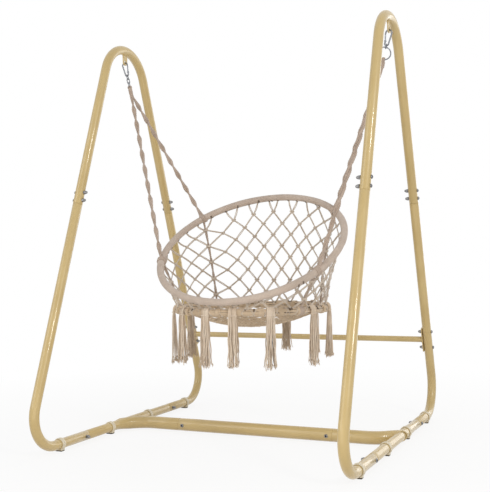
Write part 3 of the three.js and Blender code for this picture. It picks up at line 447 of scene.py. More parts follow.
def hoop(name):
    x = SIGN[name] * FRAME_X
    apex = TANGENT_Z + TANGENT_Y / tan(SPLAY)
    corners = [(x, -leg_y(LEG_JOINT), LEG_JOINT), (x, 0, apex), (x, leg_y(LEG_JOINT), LEG_JOINT)]
    shell = Shell(f"hoop_{name}", "painted")
    path = bent_path(corners, HOOP_RADIUS, 44)
    end = cut_end(TUBE)
    tube(shell, *profiled(path, end + mirrored(lengths(path)[-1], end)), 48, X)
    lug(shell, x)
    shell.build([PAINT], "stand", "frame")


def reach_of(outline, turn):
    """How far a closed outline lies from the origin, in each direction."""
    angle = np.arctan2(outline[:, 1], outline[:, 0])
    order = np.argsort(angle)
    away = np.linalg.norm(outline, axis=1)[order]
    return np.interp((turn + pi) % (2 * pi) - pi, angle[order], away, period=2 * pi)


def dense(points, pitch=0.0004):
    """A closed outline with points all along its straight runs."""
    kept = []
    for first, second in zip(points, points[1:] + points[:1]):
        count = max(2, int(dist(first, second) / pitch))
        step = (np.array(second) - first) / count
        kept += [first + step * k for k in range(count)]
    return np.array(kept)


def ring_plate(shell, at, axis, first, second, hole, outline, thickness, edge):
    """A plate with a round hole. first and second are the outline's axes about its centre."""
    turn = full_turn(96)
    reach = reach_of(outline, turn)
    half = thickness / 2
    rows = [(hole + edge, -half), (reach - edge, -half), (reach, -half + edge),
            (reach, half - edge), (reach - edge, half), (hole + edge, half),
            (hole, half - edge), (hole, -half + edge)]
    ways = circle(turn, first, second)
    spots = [at + axis * h + np.broadcast_to(r, turn.shape)[:, None] * ways for r, h in rows]
    shell.grid(np.stack(spots), np.linspace(0, 0.05, len(rows)), loop=True)


def lug(shell, x):
    """The hanging lug, and its weld beads along the hoop's underside."""
    centre = LUG_LOW + LUG_HALF - LUG_HOLE_HEIGHT
    low = bow(LUG_HALF, -pi, 0, 40, 0, centre)
    outline = dense(low + [(LUG_HALF, LUG_TOP), (-LUG_HALF, LUG_TOP)])
    at = vec(x, 0, LUG_HOLE_HEIGHT)
    ring_plate(shell, at, X, Y, Z, LUG_HOLE, outline, LUG_THICKNESS, 0.0007)
    for face in (-1, 1):
        start = vec(x + face * LUG_SEAM, -LUG_HALF, HOOP_TOP - TUBE * 0.985 + GAP)
        path = np.linspace(start, start + 2 * LUG_HALF * Y, 30)
        weld_bead(shell, path, 0.0024, X)


def lower_leg(name, end_name):
    x, end = SIGN[name] * FRAME_X, SIGN[end_name]
    top = LEG_JOINT + LEG_SPIGOT * cos(SPLAY)
    corners = [(x, end * leg_y(top), top), (x, end * leg_y(RAIL_HEIGHT), RAIL_HEIGHT),
               (x, end * RAIL_JOINT, RAIL_HEIGHT)]
    path = bent_path(corners, FOOT_RADIUS, 28)
    profile = swaged_end(LEG_SPIGOT) + mirrored(lengths(path)[-1], cut_end(TUBE))
    shell = Shell(f"leg_{name}_{end_name}", "painted")
    tube(shell, *profiled(path, profile), 48, X)
    shell.build([PAINT], "stand", "frame")


def base_corner(name):
    """A bar end that bends into one floor rail, with the other rail's stub welded on."""
    side = SIGN[name]
    x, tip, bar_tip = side * FRAME_X, RAIL_JOINT + RAIL_SPIGOT, BAR_HALF - BAR_SPIGOT_LENGTH
    corners = [(x, side * tip, RAIL_HEIGHT), (x, 0, RAIL_HEIGHT), (side * bar_tip, 0, RAIL_HEIGHT)]
    path = bent_path(corners, CORNER_RADIUS, 28)
    bend, half_arc = tip - CORNER_RADIUS, CORNER_RADIUS * pi / 4
    taper = [(bend + half_arc * t, TUBE + (BAR - TUBE) * (3 * t * t - 2 * t ** 3))
             for t in np.linspace(0, 1, 9)]
    bar_end = mirrored(lengths(path)[-1], swaged_end(BAR_SPIGOT_LENGTH, BAR_SPIGOT, BAR))
    spigot = swaged_end(RAIL_SPIGOT)
    shell = Shell(f"base_corner_{name}", "painted")
    tube(shell, *profiled(path, spigot + taper + bar_end), 48, Z)
    root = side * CORNER_RADIUS / 2
    stub = np.linspace(vec(x, -side * tip, RAIL_HEIGHT), vec(x, root, RAIL_HEIGHT), 12)
    tube(shell, *profiled(stub, spigot + [(tip + CORNER_RADIUS / 2, TUBE)]), 48, X)
    weld_bead(shell, stub_seam(x, side), 0.0026, unit(vec(0.2, 1, 0.1)), loop=True)
    shell.build([PAINT], "stand", "frame")


def stub_seam(x, side):
    """Where the stub's skin meets the bent tube's skin, found along each line of the stub."""
    centre = vec(x - side * CORNER_RADIUS, side * CORNER_RADIUS)
    start, step, proud = 0.06, 0.0006, 1.03
    seam = []
    for a in full_turn(72):
        dx, dz = TUBE * cos(a), TUBE * sin(a)
        y = -side * start
        while side * y < CORNER_RADIUS:
            ray = vec(x + dx, y) - centre
            away = hypot(np.linalg.norm(ray) - CORNER_RADIUS, dz)
            straight = hypot(y, dz) if side * (x + dx) < side * centre[0] else away
            share = np.clip(atan2(abs(ray[0]), abs(ray[1])) / (pi / 2), 0, 1)
            if min(away, straight) < BAR - (BAR - TUBE) * max(0.0, 2 * share - 1) ** 2:
                break
            y += side * step
        seam.append((x + dx * proud, y - side * 0.0004, RAIL_HEIGHT + dz * proud))
    return np.array(seam)


def base_bar():
    path = np.linspace(vec(-BAR_HALF, 0, RAIL_HEIGHT), vec(BAR_HALF, 0, RAIL_HEIGHT), 24)
    end = cut_end(BAR, BAR_SPIGOT)
    shell = Shell("base_bar", "painted")
    tube(shell, *profiled(path, end + mirrored(2 * BAR_HALF, end)), 56, Z)
    shell.build([PAINT], "stand", "frame")


def cross_bar():
    """The thin rear bar between two plates, each welded on all round."""
    shell = Shell("rear_cross_bar", "painted")
    end = FRAME_X - TUBE - GAP - PLATE_THICKNESS / 2
    y = leg_y(CROSS_HEIGHT)
    path = np.linspace(vec(-end, y, CROSS_HEIGHT), vec(end, y, CROSS_HEIGHT), 30)
    tube(shell, path, CROSS_TUBE, 40, Z)
    upright = vec(0, -sin(SPLAY), cos(SPLAY))
    quarter = bow(PLATE_CORNER, 0, pi / 2, 8, PLATE_WIDE, PLATE_HIGH)
    half = quarter + [(-p, q) for p, q in quarter[::-1]]
    outline = dense(half + [(-p, -q) for p, q in half])
    for side in (-1, 1):
        at = vec(side * end, y, CROSS_HEIGHT)
        ring_plate(shell, at, X, np.cross(X, upright), upright, 0.0005, outline,
                   PLATE_THICKNESS, 0.0006)
        seam = at - side * 0.0028 * X + (CROSS_TUBE + 0.0008) * circle(full_turn(60), Y, Z)
        weld_bead(shell, seam, 0.0022, X, loop=True)
    shell.build([PAINT], "stand", "frame")


def foot(name, end_name, where):
    """A moulded band round the rail, with two ribs, and the dark pad that it holds under it."""
    hole, outer = TUBE + GAP, TUBE + GAP + FOOT_WALL
    shoulder = asin(FOOT_HALF / outer)
    band = bow(outer, shoulder - pi / 2, 1.5 * pi - shoulder, 90)
    low = 0.004 - RAIL_HEIGHT
    outline = dense(band + [(-FOOT_HALF, low), (FOOT_HALF, low)])
    shell = Shell(f"foot_{where}_{name}_{end_name}", "band")
    at = vec(SIGN[name] * FRAME_X, SIGN[end_name] * FEET[where], RAIL_HEIGHT)
    ring_plate(shell, at, Y, X, Z, hole, outline, FOOT_LENGTH, 0.0008)
    for shift in (-FOOT_RIB, FOOT_RIB):
        ring_plate(shell, at + Y * shift, Y, X, Z, hole + 0.001, outline * 1.035, 0.0018, 0.0006)
    long, wide = PAD_HALF
    pad = dense([(long, wide), (-long, wide), (-long, -wide), (long, -wide)])
    turn = full_turn(96)
    reach = reach_of(pad, turn)
    rows = [(0, 0), (0.93, 0), (1, 0.0006), (1, PAD_HEIGHT), (0, PAD_HEIGHT)]
    spots = [at + Z * (h - RAIL_HEIGHT) + (reach * share + POINT)[:, None] * circle(turn, X, Y)
             for share, h in rows]
    shell.grid(np.stack(spots)[:, ::-1], np.linspace(0, 0.03, len(rows)), mark=1)
    shell.build([PLASTIC, RUBBER], "stand", "feet")


def bolt(node, at, axis, head_reach, nut_reach):
    """A button head with a hexagon socket coloured dark as painted shade, a washer and a long domed
    nut, on a shank.
    """
    shell = Shell(node, "steel")
    head_at, nut_at = at + axis * head_reach, at - axis * nut_reach
    lathe(shell, head_at, axis, HEAD)
    # The socket's recess is coloured dark as painted shade
    lathe(shell, head_at, axis, SOCKET, mark=1)
    lathe(shell, nut_at, -axis, WASHER)
    lathe(shell, nut_at, -axis, NUT, 48)
    tube(shell, np.linspace(nut_at, head_at, 4), SHANK, 16, Z)
    shell.build([BOLT_STEEL, SOCKET_SHADE], "stand", "fasteners", sharp=30)


def make_stand():
    reach = TUBE + GAP
    for name in ("left", "right"):
        side = SIGN[name]
        x, outward = side * FRAME_X, side * X
        hoop(name)
        base_corner(name)
        for end_name in ("front", "rear"):
            end = SIGN[end_name]
            lower_leg(name, end_name)
            for where in FEET:
                foot(name, end_name, where)
            for level, rise in LEG_BOLTS.items():
                z = LEG_JOINT + rise * cos(SPLAY)
                at = vec(x, end * leg_y(z), z)
                bolt(f"leg_bolt_{name}_{end_name}_{level}", at, outward, reach, reach)
            at = vec(x, end * (RAIL_JOINT + RAIL_BOLT), RAIL_HEIGHT)
            bolt(f"rail_bolt_{name}_{end_name}", at, outward, reach, reach)
        at = vec(side * (BAR_HALF - BAR_BOLT), 0, RAIL_HEIGHT)
        bolt(f"bar_bolt_{name}", at, -Y, BAR + GAP, BAR + GAP)
        for level, rise in CROSS_BOLTS.items():
            z = CROSS_HEIGHT + rise * cos(SPLAY)
            nut_reach = reach + PLATE_THICKNESS + GAP
            bolt(f"cross_bolt_{name}_{level}", vec(x, leg_y(z), z), outward, reach, nut_reach)
    base_bar()
    cross_bar()


make_stand()


# Hanging hardware, drawn below the middle of each hook's top arc and then leaned with the ropes

LEAN = radians(13)
HOOK_TOP = 0.012
HOOK_TIP = 0.0075
HOOK_LENGTH = 0.066
HOOK_WIRE = 0.003
HOOK_HEIGHT = 1.59206 - HOOK_TOP
GATE_ROD = 0.0027
LINK_LENGTH = 0.018
SHORT_LINK_LENGTH = 0.013
LINK_WIRE = 0.002
LINK_HALF = 0.0037
RING_BORE = 0.042
RING_WIRE = 0.0025
RING_TWIST = radians(28)

# The plan of a hook: its lower arc's height, its flanks' slant, the gate's hinge and the nose
HOOK_CENTRE = HOOK_TOP + HOOK_TIP - (HOOK_LENGTH - 2 * HOOK_WIRE)
FLANK = asin((HOOK_TIP - HOOK_TOP) / HOOK_CENTRE)
HINGE = vec(HOOK_TIP * cos(FLANK), 0, HOOK_CENTRE + HOOK_TIP * sin(FLANK) + HOOK_TIP)
NOSE = vec(HOOK_TOP * cos(FLANK), 0, HOOK_TOP * sin(FLANK) - HOOK_TIP)

# Depths below each hook's top
TIP_DEPTH = HOOK_LENGTH - 2 * HOOK_WIRE - HOOK_TOP
FIRST_LINK = TIP_DEPTH - HOOK_WIRE - GAP
LINK_STEP = LINK_LENGTH - GAP
RING_TOP = FIRST_LINK + SHORT_LINK_LENGTH - 2 * GAP
EYE_DEPTH = {"left": FIRST_LINK + 3 * LINK_STEP - GAP, "right": RING_TOP + RING_BORE - 2 * GAP}

# The hinge's cheek outside the wire, and the gate's eye between the cheeks
CHEEK = mm((0, 1.9), (4.2, 1.9), (4.2, 2.8), (3.7, 3.3), (1.9, 3.3), (1.2, 3.8), (0, 3.9))
GATE_EYE = mm((1.4, -1.6), (3.4, -1.6), (3.6, -1.3), (3.6, 1.3), (3.4, 1.6), (1.4, 1.6))


class Hanger:
    """A line of hardware: x across, z up, with its origin in the middle of the hook's top arc."""

    def __init__(self, name):
        turn = Matrix.Rotation(0 if name == "left" else pi, 3, "Z")
        self.turn = np.array(turn @ Matrix.Rotation(-LEAN, 3, "Y"))
        self.at = vec(SIGN[name] * FRAME_X, 0, HOOK_HEIGHT)

    def place(self, spots):
        return spots @ self.turn.T + self.at

    def way(self, direction):
        return self.turn @ direction

    def hang(self, shell, loop, wire, sides, crosswise):
        """A closed loop of wire or cord, turned a quarter round if it lies crosswise."""
        beside = Y
        if crosswise:
            loop, beside = np.stack([-loop[:, 1], loop[:, 0], loop[:, 2]], axis=1), -X
        tube(shell, self.place(loop), wire, sides, self.way(beside), loop=True)


HANGERS = {name: Hanger(name) for name in ("left", "right")}


def arc(centre_z, radius, angles):
    return centre_z * Z + circle(angles, radius * X, radius * Z)


def hook(name):
    """The bent wire with the hinge's cheeks, and the gate: its rod with a worn end, its eye
    round the hinge and the neck between them."""
    hanger = HANGERS[name]
    beside, hinge = hanger.way(Y), hanger.place(HINGE)
    upper = arc(0, HOOK_TOP, np.linspace(FLANK, pi - FLANK, 40))
    lower = arc(HOOK_CENTRE, HOOK_TIP, np.linspace(pi - FLANK, 2 * pi + FLANK, 40))
    path = hanger.place(np.concatenate([[NOSE], upper, lower, [HINGE]]))
    shell = Shell(f"snap_hook_{name}", "wire")
    tube(shell, path, HOOK_WIRE, 24, beside, round_ends=True)
    for way in (beside, -beside):
        lathe(shell, hinge, way, CHEEK, 36)
    shell.build([ZINC], "chair", "hardware", sharp=35)
    slope = unit(NOSE - HINGE)
    reach = np.linalg.norm(NOSE - HINGE) - 2 * GAP
    shell = Shell(f"hook_gate_{name}", "rod")
    rod = hanger.place(np.linspace(HINGE + slope * 0.0045, HINGE + slope * (reach - 0.0008), 24))
    radius = np.full(24, GATE_ROD)
    radius[-2:] = (0.0026, 0.0022)
    tube(shell, rod, radius, 24, beside, round_ends=True)
    lathe(shell, hinge, beside, GATE_EYE, 32)
    neck = hanger.place(np.linspace(HINGE + slope * 0.002, HINGE + slope * 0.007, 6))
    tube(shell, neck, 0.0026, 16, beside, round_ends=True)
    shell.build([ZINC], f"gate_{name}", "hardware", sharp=35)


def link(name, node, depth, length, crosswise):
    """A round-ended link, thicker where its wire is welded in the middle of one flank."""
    radius, half_turn = LINK_HALF + LINK_WIRE, np.linspace(0, pi, 25)
    loop = np.concatenate([arc(-(depth + LINK_HALF), radius, half_turn),
                           arc(-(depth + length - LINK_HALF), radius, pi + half_turn)])
    weld = np.exp(-((np.arange(50) - 24.5) / 0.8) ** 2)
    shell = Shell(node, "wire")
    HANGERS[name].hang(shell, loop, LINK_WIRE * (1 + 0.12 * weld), 18, crosswise)
    shell.build([ZINC], "chair", "hardware")


def steel_ring():
    hanger = HANGERS["right"]
    loop = arc(-(RING_TOP + RING_BORE / 2), RING_BORE / 2 + RING_WIRE, full_turn(96))
    spin = np.array(Matrix.Rotation(RING_TWIST, 3, "Z"))
    shell = Shell("steel_ring_right", "wire")
    tube(shell, hanger.place(loop @ spin.T), RING_WIRE, 20, hanger.way(spin @ Y), loop=True)
    shell.build([ZINC], "chair", "hardware")


for name in HANGERS:
    hook(name)
for k in range(3):
    link("left", f"chain_link_{k + 1}", FIRST_LINK + k * LINK_STEP, LINK_LENGTH, k % 2 == 0)
link("right", "short_link_right", FIRST_LINK, SHORT_LINK_LENGTH, True)
steel_ring()


# Rings of the chair, wound with cotton. Angles round them are in degrees from +X to the rear

SEAT_HEIGHT = 0.522
TOP_WRAP = 0.0046
CORE_DEPTH = 0.0040
LAID_CORDS = 12
LAID_CORD = 0.0027
CROSSING_TURNS = 44
CROSSING_CORD = 0.0017
# Dark stitches that paint the shade where cords are lashed to the rings: angle and turn on the top
# ring, angle on the seat ring
TOP_SHADOW_STITCHES = ((104, 3.3), (119, 3.4), (139, 3.4), (128, 4.0), (95, 4.0), (316.5, -0.4),
                (319.5, -0.2))
SEAT_SHADOW_STITCHES = (246, 295, 321, 348)

# Threads over a ring's cover, coloured dark as painted shade: their distance, skew, rise and dip
# with its power, then the tube
SHADOW_THREAD = dict(apart=0.0017, skew=0.15, rise=0.0010, dip=0.0026, power=6, wire=0.0013,
                   sides=6, steps=14)
FINE_THREAD = dict(apart=0.0022, skew=0, rise=0.0013, dip=0.0022, power=4, wire=0.0011,
                   sides=5, steps=12)


class Ring:
    def __init__(self, radius, height, tilt, tube_radius):
        self.radius, self.tube = radius, tube_radius
        self.middle = vec(0, 0, height)
        self.back = vec(0, cos(tilt), sin(tilt))
        self.axis = vec(0, -sin(tilt), cos(tilt))

    def outward(self, angle):
        return circle(np.radians(angle), X, self.back)

    def along(self, angle):
        return circle(np.radians(angle), self.back, -X)

    def centre(self, angle):
        return self.middle + self.radius * self.outward(angle)

    def skin(self, angle, turn, reach):
        """A point beside the ring: turn goes from its outer side over its upper side."""
        way = circle(turn, self.outward(angle), self.axis)
        return self.centre(angle) + np.asarray(reach)[..., None] * way


TOP = Ring(radius=0.386, height=0.778, tilt=radians(34), tube_radius=0.014)
SEAT_RING = Ring(radius=0.300, height=SEAT_HEIGHT, tilt=0, tube_radius=0.0135)


def wound_ring(shell, ring):
    """The cover's turns lie side by side, each a low ridge that runs slightly askew."""
    girth = 2 * pi * ring.radius
    rows, columns = round(girth / TOP_WRAP) * 4, 20
    row = np.arange(rows)[:, None]
    column = np.arange(columns)[None, :] / columns
    ridge = np.abs(np.sin(pi * (row / 4 + column)))
    wander = 0.0003 * np.sin(row * 0.011) + 0.0002 * np.sin(row * 0.037 + 2)
    reach = ring.tube - 0.0003 + 0.0007 * ridge ** 0.7 + wander
    angle = np.broadcast_to(row * 360 / rows, (rows, columns))
    turn = np.broadcast_to(column * 2 * pi, (rows, columns))
    shell.grid(ring.skin(angle, -turn, reach), np.arange(rows) * girth / rows, loop=True)


def corded_ring(shell, ring):
    """A core, cords laid along it that wander a little, and two cords wound over them. The core is
    coloured dark as painted shade between the laid cords.
    """
    angle = full_turn(240)
    # The core takes the dark cotton, painted shade in the gaps between cords
    tube(shell, ring.centre(np.degrees(angle)), ring.tube - CORE_DEPTH, 14, ring.axis, 1, loop=True)
    for k in range(LAID_CORDS):
        turn = 2 * pi * k / LAID_CORDS + 0.16 * np.sin(angle * (5 + k % 4) + k * 2.1)
        reach = ring.tube - 0.0025 + 0.0005 * np.sin(angle * 23 + k)
        path = ring.skin(np.degrees(angle), turn, reach)
        tube(shell, path, LAID_CORD, 8, ring.axis, loop=True)
    fine = full_turn(960)
    for way in (-CROSSING_TURNS, CROSSING_TURNS):
        turn = way * fine + 0.5 * np.sin(fine * 7)
        path = ring.skin(np.degrees(fine), turn, ring.tube - 0.0002)
        tube(shell, path, CROSSING_CORD, 6, ring.axis, 2, loop=True)


def stitch(shell, ring, angle, middle, apart, skew, rise, dip, power, wire, sides, steps):
    """Two short turns of thread that tie the cover down, their ends sunk into it; their dark colour
    is painted shade.
    """
    t = np.linspace(-1, 1, steps)
    for shift in (-apart, apart):
        place = angle + degrees(shift / ring.radius) + skew * t
        path = ring.skin(place, middle + 0.55 * t, ring.tube + rise - dip * t ** power)
        tube(shell, path, wire, sides, ring.along(place), 1, round_ends=True)


def make_rings():
    shell = Shell("top_ring", "wound")
    wound_ring(shell, TOP)
    for angle, middle in TOP_SHADOW_STITCHES:
        stitch(shell, TOP, angle, middle, **SHADOW_THREAD)
    shell.build([WRAP, SHADE], "chair", "cotton")
    shell = Shell("seat_ring", "corded")
    corded_ring(shell, SEAT_RING)
    for angle in SEAT_SHADOW_STITCHES:
        stitch(shell, SEAT_RING, angle, 0.9, **SHADOW_THREAD)
    shell.build([SEAT, SHADE, NET], "chair", "cotton")


make_rings()


# Ropes: flat braids that twist as they go down to the top ring, and on down the net as ribs

ROPE_ANGLES = {"left": (195.3, 143.9), "right": (-29.0, 41.0)}
ROPE_BRAID = {name: dict(width=0.0215, thickness=thickness, lobe=0.069, strands=5, lay=0.036)
              for name, thickness in (("left", 0.0076), ("right", 0.0105))}
RIB_BRAID = dict(width=0.0125, thickness=0.0085, lobe=0.064, strands=4, lay=0.030)
EYE_RADIUS = 0.0068
EYE_CORD = 0.0027
EYE_APART = 0.0026
NET_WAIST = 0.027


def braid(shell, path, start, swell, width, thickness, lobe, strands, lay, first=0.0):
    """Strands cross from side to side of a flat band, and the band turns half round per lobe.
    Its first direction across is start, which is carried along without a turn of its own."""
    run = lengths(path)
    forward = tangents(path)
    across = np.zeros_like(path)
    for k, way in enumerate(forward):
        start = unit(start - way * (start @ way))
        across[k] = start
    through = np.cross(forward, across)
    spin = first + pi * run / lobe + 0.25 * np.sin(2 * pi * run / lobe)
    flat = circle(spin, across, through)
    edge = circle(spin, through, -across)
    radius = width / strands * 0.78
    for k in range(strands):
        phase = 2 * pi * (run / lay + k / strands)
        out = (width / 2 - radius) * np.sin(phase) * swell
        deep = (thickness / 2 - radius * 0.6) * np.sin(2 * phase) * swell
        strand = path + out[:, None] * flat + deep[:, None] * edge
        tube(shell, strand, radius * np.sqrt(swell), 9, flat, oval=0.8)


def coil(shell, centre, axis, beside, radius, deep, wire, turns, length, sides=6):
    """Turns of cord wound round a bundle; deep is the bundle's other half width."""
    a = np.linspace(0, 2 * pi * turns, int(26 * turns) + 1)
    along = (a / a[-1] - 0.5) * length
    ring = circle(a, radius * beside, deep * np.cross(axis, beside))
    tube(shell, centre + along[:, None] * axis + ring, wire, sides, axis, round_ends=True)


def rope_eye(shell, name):
    """Two cords looped through the last steel piece, and the seizing under them: its depth."""
    hanger, depth = HANGERS[name], EYE_DEPTH[name]
    loop = arc(-(depth + 0.004), EYE_RADIUS, full_turn(48))
    for shift in (-EYE_APART, EYE_APART):
        hanger.hang(shell, loop + shift * Y, EYE_CORD, 12, name == "right")
    top = depth + 0.010
    beside = hanger.way(Y)
    middle = hanger.place(-Z * (top + 0.013))
    coil(shell, middle, -hanger.way(Z), beside, EYE_RADIUS, EYE_RADIUS, 0.0022, 6, 0.022, 8)
    core = hanger.place(np.linspace(-Z * (top - 0.002), -Z * (top + 0.030), 10))
    tube(shell, core, 0.0062, 16, beside, round_ends=True)
    return top + 0.022


def span(angle):
    """The two rings' middles at an angle, and the distance between them."""
    low, high = SEAT_RING.centre(angle), TOP.centre(angle)
    return low, high, np.linalg.norm(high - low)


def net_spot(angle, height):
    """A point of the net: height is measured along the line between the two rings' middles."""
    low, high, reach = span(angle)
    rise = (height - SEAT_RING.tube) / (reach - SEAT_RING.tube - TOP.tube)
    waist = NET_WAIST * reach * 4 * max(rise, 0.0) * max(1 - rise, 0.0)
    return low + (high - low) / reach * height - radial(angle) * waist


def row_height(angle, row):
    """Rows are even in height along the ribs, and taller toward the middle of the back."""
    share = (angle - 40) / 103
    swell = 0.0145 * sin(pi * share) if 0 < share < 1 else 0.0
    return 0.157 + (row - 4) * (0.036 + swell)


def seizing(shell, ring, angle, turns, pitch, wire):
    """Turns of rope round a ring, side by side."""
    a = np.linspace(0, 2 * pi * turns, int(30 * turns) + 1)
    place = angle + (a / a[-1] - 0.5) * degrees(pitch * turns / ring.radius)
    path = ring.skin(place, a + pi, ring.tube + wire * 0.75)
    tube(shell, path, wire, 9, ring.along(place), round_ends=True)


def rib(shell, angle):
    """The rope goes on down the net, swelling where the net is tied to it."""
    low, high = SEAT_RING.tube - 0.004, span(angle)[2] - TOP.tube + 0.004
    heights = np.linspace(low, high, max(12, int(span(angle)[2] / 0.004)))
    path = np.stack([net_spot(angle, h) for h in heights])
    knots = np.array([row_height(angle, row) for row in range(1, 11, 2)])
    swell = 1 + 0.28 * np.exp(-((heights[:, None] - knots) / 0.008) ** 2).sum(axis=1)
    braid(shell, path, np.cross(Z, radial(angle)), swell, **RIB_BRAID)
    seizing(shell, SEAT_RING, angle, 4, 0.0048, 0.0028)


def rope_pair(name):
    shell = Shell(f"ropes_{name}", "braided")
    start = HANGERS[name].place(-Z * rope_eye(shell, name))
    for k, angle in enumerate(ROPE_ANGLES[name]):
        end = TOP.centre(angle)
        end = end + unit(start - end) * 0.012
        count = int(np.linalg.norm(end - start) / 0.004)
        share = np.linspace(0, 1, count)
        apart = Y * (0.0035 if k else -0.0035) * np.exp(-share * 40)[:, None]
        path = start + (end - start) * share[:, None] + apart
        swell = 1 - 0.45 * np.exp(-share * count / 9.0)
        braid(shell, path, Y, swell, first=0.5 + 1.1 * k, **ROPE_BRAID[name])
        seizing(shell, TOP, angle, 4, 0.0052, 0.0030)
        rib(shell, angle)
    shell.build([ROPE], "chair", "cotton", sharp=60)


# Net: crossing pairs of cords, knotted where they meet. The columns are angles between two ribs

CORD = 0.0019
CORDS_APART = 0.0023
NET_ROWS = 11
RING_MARGIN = 0.008
COLUMNS = {
    "back": (143.9, 131.5, 122.5, 115, 108, 101, 94, 87, 79.7, 72.8, 65.6, 58.4, 49.6, 41),
    "left": (143.9, 153.2, 162, 170.3, 178.6, 186.9, 195.3),
    "right": (41, 33.0, 25.4, 17.9, 10.4, 2.7, -5.1, -13.0, -21.0, -29),
    "front": tuple(195.3 + 135.7 * k / 16 for k in range(17)),
}
# Whether the first column's knots lie on the odd rows, and the nodes that each net replaces
NETS = {
    "back": (1, ["back_net_left", "back_net_middle", "back_net_right"]),
    "left": (1, ["side_net_left"]),
    "right": (0, ["side_net_right_front", "side_net_right_rear"]),
    "front": (1, ["front_net_left", "front_net_middle", "front_net_right"]),
}


def net_knot(shell, spot, normal, upright, size):
    """A small flat overhand knot."""
    t = full_turn(30)
    x = (np.sin(t) + 2 * np.sin(2 * t)) * 0.00205 * size
    z = (np.cos(t) - 2 * np.cos(2 * t)) * 0.00125 * size
    y = -np.sin(3 * t) * 0.0017 * size
    level = np.cross(upright, normal)
    path = spot + x[:, None] * level + z[:, None] * upright + y[:, None] * normal
    tube(shell, path, 0.0017 * size, 6, normal, loop=True)


def cord_pair(shell, start, bend, end, normal, apart=CORDS_APART, steps=9):
    """Two cords side by side along a soft curve, drawn together at its ends."""
    t = np.linspace(0, 1, steps)[:, None]
    path = (1 - t) ** 2 * start + 2 * t * (1 - t) * bend + t ** 2 * end
    level = unit(np.cross(normal, end - start))
    deep = unit(np.cross(level, end - start))
    gap = apart * (0.35 + 0.65 * np.sin(pi * t) ** 0.7) * chance.uniform(0.75, 1.15)
    lean = chance.uniform(-0.5, 0.5)
    across = level * cos(lean) + deep * sin(lean)
    sag = deep * 0.0008 * np.sin(pi * t) * chance.uniform(-1, 1)
    for way in (-1, 1):
        tube(shell, path + sag + way * gap * across, CORD, 6, normal)


def tie(shell, ring, angle, end):
    """Threads where a pair of cords goes into a ring's cover, coloured dark as painted shade of the
    gap there.
    """
    away = unit(end - ring.centre(angle))
    middle = atan2(away @ ring.axis, away @ ring.outward(angle))
    stitch(shell, ring, angle, middle, **FINE_THREAD)


class Net:
    """Knots and cords in one shell. i counts the columns from the first rib, and j the rows."""

    def __init__(self, name, first):
        self.name, self.first, self.columns, self.wander = name, first, COLUMNS[name], {}
        self.last = len(self.columns) - 1
        self.shell = Shell(f"net_{name}", "knotted")

    def angle(self, i):
        return np.interp(i, range(self.last + 1), self.columns)

    def height(self, i, j):
        return row_height(self.angle(i), j)

    def top(self, i):
        return span(self.angle(i))[2] - TOP.tube

    def spot(self, i, j):
        """The place of a knot, which wanders a little except along the ribs."""
        if (i, j) not in self.wander:
            self.wander[i, j] = (chance.uniform(-0.004, 0.004), chance.uniform(-0.0016, 0.0016))
        side, rise = self.wander[i, j]
        edge = i in (0, self.last)
        return net_spot(self.angle(i + (0 if edge else side * 8)), self.height(i, j) + rise)

    def inside(self, i, j):
        return SEAT_RING.tube + RING_MARGIN < self.height(i, j) < self.top(i) - RING_MARGIN

    def landing(self, i, j, di, dj):
        """Where the cord from knot i, j toward its neighbour meets a ring, as i and a height."""
        narrow = 0.45 if self.name == "back" and dj > 0 and j == 9 else 1.0
        start = self.height(i, j)
        for share in np.linspace(0.02, 1.6, 160):
            at = min(max(i + di * share * narrow, 0.0), float(self.last))
            height = start + (self.height(at, j + dj) - start) * share
            if not SEAT_RING.tube < height < self.top(at):
                break
        return at, (self.top(at) if dj > 0 else SEAT_RING.tube)

    def draw(self):
        for i in range(self.last + 1):
            outward = radial(self.angle(i))
            for j in range(NET_ROWS):
                if (i + j) % 2 == self.first and self.inside(i, j):
                    self.knot(i, j, outward)
                    for di in (-1, 1):
                        if 0 <= i + di <= self.last:
                            self.cords(i, j, di, outward)

    def knot(self, i, j, outward):
        spot = self.spot(i, j)
        upright = unit(net_spot(self.angle(i), self.height(i, j) + 0.01) - spot)
        on_rib = i in (0, self.last)
        net_knot(self.shell, spot, outward, upright, 1.75 if on_rib else 1.55)
        if on_rib:
            coil(self.shell, spot, upright, outward, 0.0085, 0.0105, 0.0018, 2, 0.007)

    def cords(self, i, j, di, outward):
        start = self.spot(i, j)
        if self.inside(i + di, j + 1):
            end = self.spot(i + di, j + 1)
            cord_pair(self.shell, start, (start + end) / 2, end, outward)
        elif self.height(i + di, j + 1) > SEAT_RING.tube:
            self.land(i, j, di, 1, outward)
        if not self.inside(i + di, j - 1):
            self.land(i, j, di, -1, outward)

    def land(self, i, j, di, dj, outward):
        start = self.spot(i, j)
        at, height = self.landing(i, j, di, dj)
        angle = self.angle(at)
        end = net_spot(angle, height + dj * 0.003)
        bend = (start + end) / 2
        if dj > 0:
            hung = net_spot(angle, height - 0.45 * np.linalg.norm(end - start))
            bend = bend * 0.45 + 0.55 * hung
        cord_pair(self.shell, start, bend, end, outward)
        tie(self.shell, TOP if dj > 0 else SEAT_RING, angle, end)

    def lash(self):
        """Where the rings come close together, cords run straight from one to the other."""
        for i in range(1, self.last):
            if self.top(i) - SEAT_RING.tube < 0.046:
                angle = self.angle(i)
                for lean in (-1.6, 1.6):
                    start = net_spot(angle - lean, SEAT_RING.tube - 0.003)
                    end = net_spot(angle + lean, self.top(i) + 0.003)
                    cord_pair(self.shell, start, (start + end) / 2, end, radial(angle), 0.0021)
                    tie(self.shell, TOP, angle + lean, end)


def make_nets():
    for name, (first, nodes) in NETS.items():
        net = Net(name, first)
        net.draw()
        if name == "front":
            net.lash()
        net.shell.build([NET, SHADE], "chair", "cotton", nodes, sharp=70)


for name in HANGERS:
    rope_pair(name)
make_nets()


